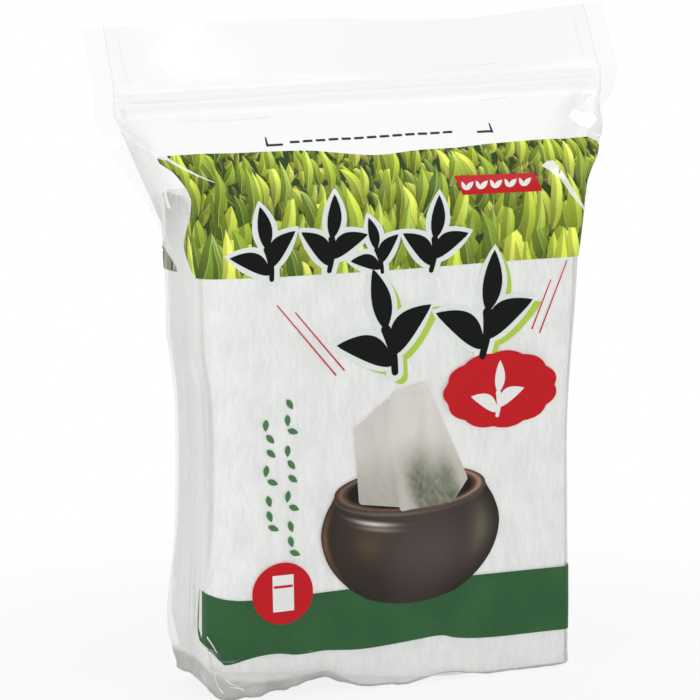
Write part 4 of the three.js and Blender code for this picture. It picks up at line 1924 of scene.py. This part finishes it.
@dataclass
class CreaseMarks(FrontLayer):
    """Sharp folds that have turned the film white, partly real whitening and partly painted highlight, with
    painted glints and grey lines of painted shade.
    """

    def build(self) -> list[Piece]:
        """Makes the white folds from the zip's ends, partly painted highlight, the painted glints in the
        print and at the base, and grey lines of painted shade.

        Returns:
            The new pieces.
        """
        # White film for the folds, partly real whitening and partly painted highlight, and for the painted
        # glints.
        white = FilmFinish("creased_film_and_painted_glints", tint=(0.97, 0.97, 0.965), haze=0.72, fold_haze=0.95)
        # Grey film for lines of painted shade along creases, the zip and the header's side edges.
        grey = FilmFinish("grey_crease_painted_shade", tint=(0.45, 0.45, 0.43), haze=0.12, fold_haze=0.4)
        folds = [
            # Fold from the zip's left end, white partly from whitening and partly as painted highlight.
            stroke_outline((-49.6, 109.6), (-47.2, 105.9), 0.35, 0.6, 0.04),
            stroke_outline((-47.2, 105.9), (-42.0, 103.8), 0.6, 0.85, 0.03),
            stroke_outline((-42.0, 103.8), (-33.8, 99.0), 0.55, 0.14, 0.03),
            # Painted glints where the creased film catches the light at the right end of the leaf field.
            [(32.0, 98.2), (33.4, 99.0), (34.8, 99.0), (35.6, 97.8), (34.9, 96.0), (33.6, 97.2)],
            [
                (35.0, 96.3), (35.9, 97.3), (37.4, 94.6), (40.0, 90.6), (41.4, 88.9), (40.4, 89.2),
                (37.6, 92.6),
            ],
            [(40.9, 93.6), (41.9, 93.4), (41.9, 89.6), (41.3, 89.2)],
            [
                # Painted glints on the crumpled film at the zip's right end.
                (41.0, 106.5), (42.6, 108.0), (44.4, 107.0), (46.6, 107.3), (47.0, 105.9), (44.6, 104.1),
                (42.6, 104.7),
            ],
            stroke_outline((44.6, 103.6), (46.6, 102.9), 0.12, 0.3, 0.05),
            # White fold where the film turns over the left edge, partly whitening and partly painted
            # highlight.
            stroke_outline((-44.6, 98.6), (-45.4, 94.4), 0.3, 0.9, 0.12),
            # Painted glints on the film's folds near the base.
            stroke_outline((-35.8, 10.3), (-37.9, 13.0), 0.14, 0.4, 0.05),
            stroke_outline((-36.2, 6.0), (-34.9, 2.2), 0.08, 0.3, 0.1),
            stroke_outline((-34.2, 5.0), (-31.6, 3.4), 0.25, 0.06, 0.1),
            stroke_outline((-33.6, 3.4), (-31.0, 2.4), 0.12, 0.28, -0.1),
            stroke_outline((-43.6, 5.6), (-39.4, 3.0), 0.08, 0.3, 0.06),
        ]
        lines = [
            # Grey lines of painted shade along creases in the header, along the zip and on the header's side
            # edges.
            stroke_outline((15.5, 117.3), (27.5, 117.6), 0.08, 0.22, 0.01),
            stroke_outline((24.0, 110.2), (38.0, 112.6), 0.35, 0.08, 0.03),
            stroke_outline((-46.0, 113.6), (-24.0, 113.5), 0.3, 0.06, 0.004),
            stroke_outline((-44.0, 109.9), (-20.0, 109.6), 0.1, 0.45, 0.01),
            stroke_outline((-48.4, 112.4), (-47.4, 109.8), 0.9, 0.2, 0.05),
            stroke_outline((-46.9, 125.4), (-46.4, 117.0), 0.4, 0.15, 0.02),
            stroke_outline((46.6, 125.0), (47.0, 117.0), 0.4, 0.15, 0.02),
        ]
        pieces = [
            self.patch("fold_whitening_and_painted_glints", folds, white.build(self.effects), 12),
            self.patch("painted_crease_shade_lines", lines, grey.build(self.effects), 10),
        ]
        for piece in pieces:
            piece.visible_shadow = False
        return pieces


@dataclass
class TeaBowlPicture:
    """A printed picture of a round brown tea bowl and a filled filter, drawn by formula."""

    centre: Point = (3.4, 38.6)
    mouth_half_width: float = 15.6
    mouth_half_height: float = 4.3
    depth: float = 20.5
    sides: tuple[Point, ...] = (
        (0.0, 15.6), (0.05, 16.1), (0.16, 17.4), (0.32, 18.4), (0.48, 18.2),
        (0.64, 17.0), (0.78, 15.0), (0.90, 12.4), (1.0, 9.2),
    )

    def mouth(self) -> list[Point]:
        """Outline of the bowl's mouth."""
        return oval_outline(self.centre, self.mouth_half_width, self.mouth_half_height, steps=96)

    def mouth_tone(self, x: Array, z: Array) -> Array:
        """Dark inside with a thick lit rim.

        Args:
            x: distance across the panel.
            z: level.

        Returns:
            One colour per place.
        """
        across = (x - self.centre[0]) / self.mouth_half_width
        radius = np.hypot(across, (z - self.centre[1]) / self.mouth_half_height)
        rim = smooth(radius, 0.80, 0.86)
        crest = bell(radius, 0.92, 0.035) * (0.4 + 0.6 * smooth(across, -0.2, 0.9))
        dark = np.array([0.010, 0.007, 0.006])
        glaze = np.array([0.060, 0.036, 0.026])
        tone = dark + (glaze - dark) * rim[:, None]
        return tone + np.array([0.30, 0.19, 0.13]) * crest[:, None]

    def body(self) -> list[Point]:
        """Outline of the bowl under its front rim.

        Returns:
            Points of the outline.
        """
        cx, cz = self.centre
        steps = 32
        rim = []
        for i in range(steps + 1):
            turn = math.pi + math.pi * i / steps
            x = cx + self.mouth_half_width * math.cos(turn)
            rim.append((x, cz + self.mouth_half_height * math.sin(turn)))
        side = [(half, cz - self.depth * share) for share, half in curve(self.sides, 4)[1:]]
        foot = [(9.2 * (1 - i / 5), 1.7 * (1 - (1 - i / 5) ** 2)) for i in range(1, 10)]
        right = [(cx + half, z) for half, z in side]
        under = [(cx + reach, cz - self.depth - drop) for reach, drop in foot]
        left = [(cx - half, z) for half, z in reversed(side)]
        return rim + right + under + left

    def body_tone(self, x: Array, z: Array) -> Array:
        """Round brown glaze with a highlight under the rim, a dark flank and a lit right edge.

        Args:
            x: distance across the panel.
            z: level.

        Returns:
            One colour per place.
        """
        fall = (self.centre[1] - z) / self.depth
        half = np.interp(np.clip(fall, 0, 1), *zip(*self.sides))
        across = (x - self.centre[0]) / half
        rim_arch = np.sqrt(np.clip(1 - ((x - self.centre[0]) / self.mouth_half_width) ** 2, 0, 1))
        below = fall - self.mouth_half_height / self.depth * rim_arch
        roundness = np.clip(1 - (0.96 * across) ** 2, 0, 1) ** 0.5
        light = (0.22 + 0.78 * roundness) * (1 - 0.30 * smooth(fall, 0.55, 1.05))
        tone = np.array([0.050, 0.036, 0.031]) * light[:, None]
        shadow = bell(across, -0.52, 0.22) * bell(fall, 0.62, 0.28)
        tone = tone * (1 - 0.45 * shadow)[:, None]
        sheen = bell(across, 0.25, 0.6) * bell(fall, 0.62, 0.34)
        tone = tone + np.array([0.030, 0.026, 0.026]) * sheen[:, None]
        stain = bell(across, -0.50, 0.16) * bell(fall, 0.50, 0.16)
        tone = tone + np.array([0.055, 0.030, 0.012]) * stain[:, None]
        right_glow = bell(across, 0.80, 0.10) * bell(fall, 0.42, 0.22)
        tone = tone + np.array([0.070, 0.068, 0.042]) * right_glow[:, None]
        left_glow = bell(across, -0.965, 0.03) * bell(fall, 0.42, 0.3)
        tone = tone + np.array([0.12, 0.060, 0.025]) * left_glow[:, None]
        lip = bell(below, 0.022, 0.014) * (0.3 + 0.7 * bell(across, -0.3, 0.5))
        tone = tone + np.array([0.11, 0.085, 0.070]) * lip[:, None]
        arc = bell(below, 0.115 + 0.03 * (across + 0.4), 0.017) * bell(across, -0.42, 0.2)
        arc = arc + 0.3 * bell(below, 0.165 + 0.03 * (across + 0.4), 0.017) * bell(across, -0.36, 0.2)
        return np.clip(tone + np.array([0.66, 0.60, 0.54]) * arc[:, None], 0, 1)

    def placed(self, corners: Sequence[Point]) -> list[Point]:
        """A closed outline of slightly rounded corners, moved to the bowl.

        Args:
            corners: corners round the bowl's middle.

        Returns:
            Points of the outline.
        """
        cx, cz = self.centre
        outline = []
        count = len(corners)
        for i, corner in enumerate(corners):
            before, after = corners[i - 1], corners[(i + 1) % count]
            for t in (0.0, 0.3, 0.7, 1.0):
                a = tuple(corner[k] + (before[k] - corner[k]) * 0.06 * (1 - t) for k in (0, 1))
                b = tuple(corner[k] + (after[k] - corner[k]) * 0.06 * t for k in (0, 1))
                outline.append((cx + (a[0] + b[0]) / 2, cz + (a[1] + b[1]) / 2))
        return outline

    def back_panel(self) -> list[Point]:
        """Outline of the filter's far panel."""
        return self.placed([(-10.6, -2.0), (2.0, -4.0), (-0.4, 18.6), (-5.0, 17.4), (-11.4, 12.6)])

    def front_panel(self) -> list[Point]:
        """Outline of the filter's near panel."""
        return self.placed([(-2.2, -4.2), (9.0, -3.2), (12.0, 1.0), (3.4, 20.6), (-3.6, 19.0), (-4.6, 15.0)])

    def paper_tone(self, x: Array, z: Array, leafy: Array, light: float) -> Array:
        """Wet paper over tea leaves.

        Args:
            x: distance across the panel.
            z: level.
            leafy: share by which leaves show through.
            light: brightness of the dry paper.

        Returns:
            One colour per place.
        """
        spots = np.column_stack([x, z, 0 * x])
        grain = 0.5 + 0.5 * creases(spots, 1.6, 83, 7)
        veil = 0.5 + 0.5 * creases(spots * [1.0, 0.3, 1.0], 3.4, 89)
        white = np.array([0.72, 0.68, 0.63]) * light
        green = np.array([0.070, 0.095, 0.036])
        share = np.clip(leafy * (0.66 + 0.5 * grain), 0, 1)[:, None]
        return (white + (green - white) * share) * (0.9 + 0.14 * veil)[:, None]

    def back_panel_tone(self, x: Array, z: Array) -> Array:
        """Paper that is greener towards the bowl."""
        up = (z - self.centre[1]) / 19.0
        return self.paper_tone(x, z, 0.42 * (1 - smooth(up, -0.1, 0.55)), 0.92)

    def front_panel_tone(self, x: Array, z: Array) -> Array:
        """Paper full of dark leaves in its lower half, paler along its edge.

        Args:
            x: distance across the panel.
            z: level.

        Returns:
            One colour per place.
        """
        up = (z - self.centre[1]) / 19.0
        lean = x - self.centre[0] - 4.8 + 6.5 * up
        edge = smooth(np.abs(lean), 3.4, 6.4)
        leafy = (1 - smooth(up + 0.05 * np.sin(0.9 * x), 0.0, 0.62)) * (1 - 0.6 * edge)
        tone = self.paper_tone(x, z, 0.95 * leafy, 1.0)
        hem = 0.10 * bell(up, 0.97, 0.025) * (0.5 + 0.5 * np.sin(9 * x))
        return tone * (1 - hem)[:, None]


def polygon_turn(outline: Sequence[Point]) -> float:
    """Twice the signed area of an outline, above 0 where it runs anticlockwise."""
    following = list(outline[1:]) + [outline[0]]
    return sum(a[0] * b[1] - b[0] * a[1] for a, b in zip(outline, following))


def cut_in_cells(shape: bmesh.types.BMesh, step: float) -> None:
    """Cuts a flat shape along a square grid, so that it can bend with the film.

    Args:
        shape: the flat mesh.
        step: size of the grid's squares.
    """
    for axis in (0, 1):
        values = [v.co[axis] for v in shape.verts]
        first = math.ceil(min(values) / step + 1e-6)
        last = math.floor(max(values) / step - 1e-6)
        normal = Vector((1, 0, 0)) if axis == 0 else Vector((0, 1, 0))
        for i in range(first, last + 1):
            parts = list(shape.verts) + list(shape.edges) + list(shape.faces)
            bmesh.ops.bisect_plane(shape, geom=parts, dist=1e-5, plane_co=normal * i * step, plane_no=normal)
    shape.verts.index_update()


# Studio


@dataclass
class Studio:
    """Floor, lights, background and the camera at the photograph's view."""

    azimuth: float = -22.6
    elevation: float = 9.9
    roll: float = -0.86
    distance: float = 700.0
    focal_pixels: float = 3665.0
    frame_pixels: float = 700.0
    target: tuple[float, float, float] = (-2.6, 0.0, 63.9)
    floor_size: float = 40.0
    lamp_size: float = 0.5
    ambient: float = 0.52

    def build(self) -> None:
        """Sets up everything round the object."""
        self.camera()
        self.world()
        self.floor()
        self.lights()
        bpy.context.scene.view_settings.view_transform = "Standard"

    def direction(self) -> Vector:
        """Unit vector from the target towards the camera."""
        turn, rise = math.radians(self.azimuth), math.radians(self.elevation)
        return Vector((math.sin(turn) * math.cos(rise), -math.cos(turn) * math.cos(rise), math.sin(rise)))

    def camera(self) -> None:
        """Places the camera."""
        data = bpy.data.cameras.new("view")
        data.sensor_fit = "AUTO"
        data.lens = self.focal_pixels / self.frame_pixels * data.sensor_width
        camera = bpy.data.objects.new("view", data)
        back = self.direction()
        camera.location = (Vector(self.target) + back * self.distance) * MM
        look = back.to_track_quat("Z", "Y")
        camera.rotation_mode = "QUATERNION"
        camera.rotation_quaternion = look @ Matrix.Rotation(math.radians(self.roll), 3, "Z").to_quaternion()
        bpy.context.scene.collection.objects.link(camera)
        bpy.context.scene.camera = camera

    def world(self) -> None:
        """Even soft light, with a white background where it is seen, mirrored or seen through."""
        world = bpy.data.worlds.new("studio")
        world.use_nodes = True
        bpy.context.scene.world = world
        w = NodeTree(world.node_tree)
        background = world.node_tree.nodes["Background"]
        seen = self.seen(w)
        w.feed(background.inputs["Color"], (1.0, 1.0, 1.0))
        w.feed(background.inputs["Strength"], w.math("MULTIPLY_ADD", seen, 1.0 - self.ambient, self.ambient))

    def seen(self, w: NodeTree) -> Socket:
        """Whether a ray sees, mirrors or looks through to a surface.

        Args:
            w: writer of the surface's nodes.

        Returns:
            1 for such a ray and 0 for one that lights the object.
        """
        path = w.node("ShaderNodeLightPath")
        seen = w.math("MAXIMUM", path.outputs["Is Camera Ray"], path.outputs["Is Transmission Ray"])
        return w.math("MAXIMUM", seen, path.outputs["Is Glossy Ray"])

    def floor(self) -> None:
        """A wide white floor that keeps a soft shadow round the object."""
        material = bpy.data.materials.new("pale_floor")
        material.use_nodes = True
        w = NodeTree(material.node_tree)
        shader = material.node_tree.nodes["Principled BSDF"]
        shader.inputs["Base Color"].default_value = (0.66, 0.66, 0.66, 1.0)
        shader.inputs["Roughness"].default_value = 0.9
        shader.inputs["Specular IOR Level"].default_value = 0.0
        glow = w.node("ShaderNodeEmission", {"Color": (1.0, 1.0, 1.0), "Strength": 1.0})
        place = w.node("ShaderNodeTexCoord").outputs["Object"]
        away = w.node("ShaderNodeVectorMath", {0: place}, operation="LENGTH").outputs["Value"]
        share = w.remap(away, 0.04, 0.16, 0.86, 1.0)
        seen = self.seen(w)
        blend = w.node("ShaderNodeMixShader", {"Fac": w.math("MULTIPLY", seen, share)})
        w.feed(blend.inputs[1], shader.outputs[0])
        w.feed(blend.inputs[2], glow.outputs[0])
        output = material.node_tree.nodes["Material Output"]
        w.feed(output.inputs["Surface"], blend.outputs[0])
        size = self.floor_size
        mesh = bpy.data.meshes.new("floor")
        corners = [(-size, -size, 0), (size, -size, 0), (size, size, 0), (-size, size, 0)]
        mesh.from_pydata(corners, [], [(0, 1, 2, 3)])
        mesh.materials.append(material)
        floor = bpy.data.objects.new("floor", mesh)
        bpy.context.scene.collection.objects.link(floor)

    def lights(self) -> None:
        """Large soft lamps: a key from the front right, a fill from the left and one above."""
        self.lamp("key", (0.50, -0.85, 0.60), 3.8)
        self.lamp("fill", (-0.90, -0.35, 0.40), 4.15)
        self.lamp("top", (0.1, 0.15, 0.95), 2.4)

    def lamp(self, name: str, place: tuple[float, float, float], power: float) -> None:
        """A square soft lamp that looks at the pack.

        Args:
            name: the lamp's name.
            place: where it stands, in metres.
            power: its power in watts.
        """
        data = bpy.data.lights.new(name, "AREA")
        data.size = self.lamp_size
        data.energy = power
        lamp = bpy.data.objects.new(name, data)
        lamp.location = place
        aim = Vector((0, 0, 0.06)) - Vector(place)
        lamp.rotation_euler = aim.to_track_quat("-Z", "Y").to_euler()
        bpy.context.scene.collection.objects.link(lamp)


def report(pieces: Sequence[Piece]) -> None:
    """Logs each piece with its number of faces."""
    for piece in pieces:
        LOG.info("%s: %d faces", piece.name, len(piece.data.polygons))


def main() -> None:
    """Builds the studio and the pack's pieces in order."""
    logging.basicConfig(level=logging.INFO, format="%(name)s: %(message)s")
    Studio().build()
    effects = Effects()
    form = PouchForm.from_frame()
    film = FilmFinish("clear_film").build(effects)
    weld = FilmFinish("welded_film", haze=0.2, fold_haze=0.5, edge_haze=0.05, crinkle_scale=260.0)
    strip = FilmFinish(
        "zip_strip",
        tint=(0.80, 0.80, 0.79),
        haze=0.09,
        edge_haze=0.16,
        fold_share=0.05,
        crinkle_height=0.00003,
    )
    report(PouchSkin(form, film, weld.build(effects)).build())
    report(ZipTracks(form, strip.build(effects)).build())
    report(FilterStack(form, PaperFinish().build(effects)).build())
    report(FrontPrint(form, effects).build())
    report(CreaseMarks(form, effects).build())


if __name__ == "__main__":
    main()
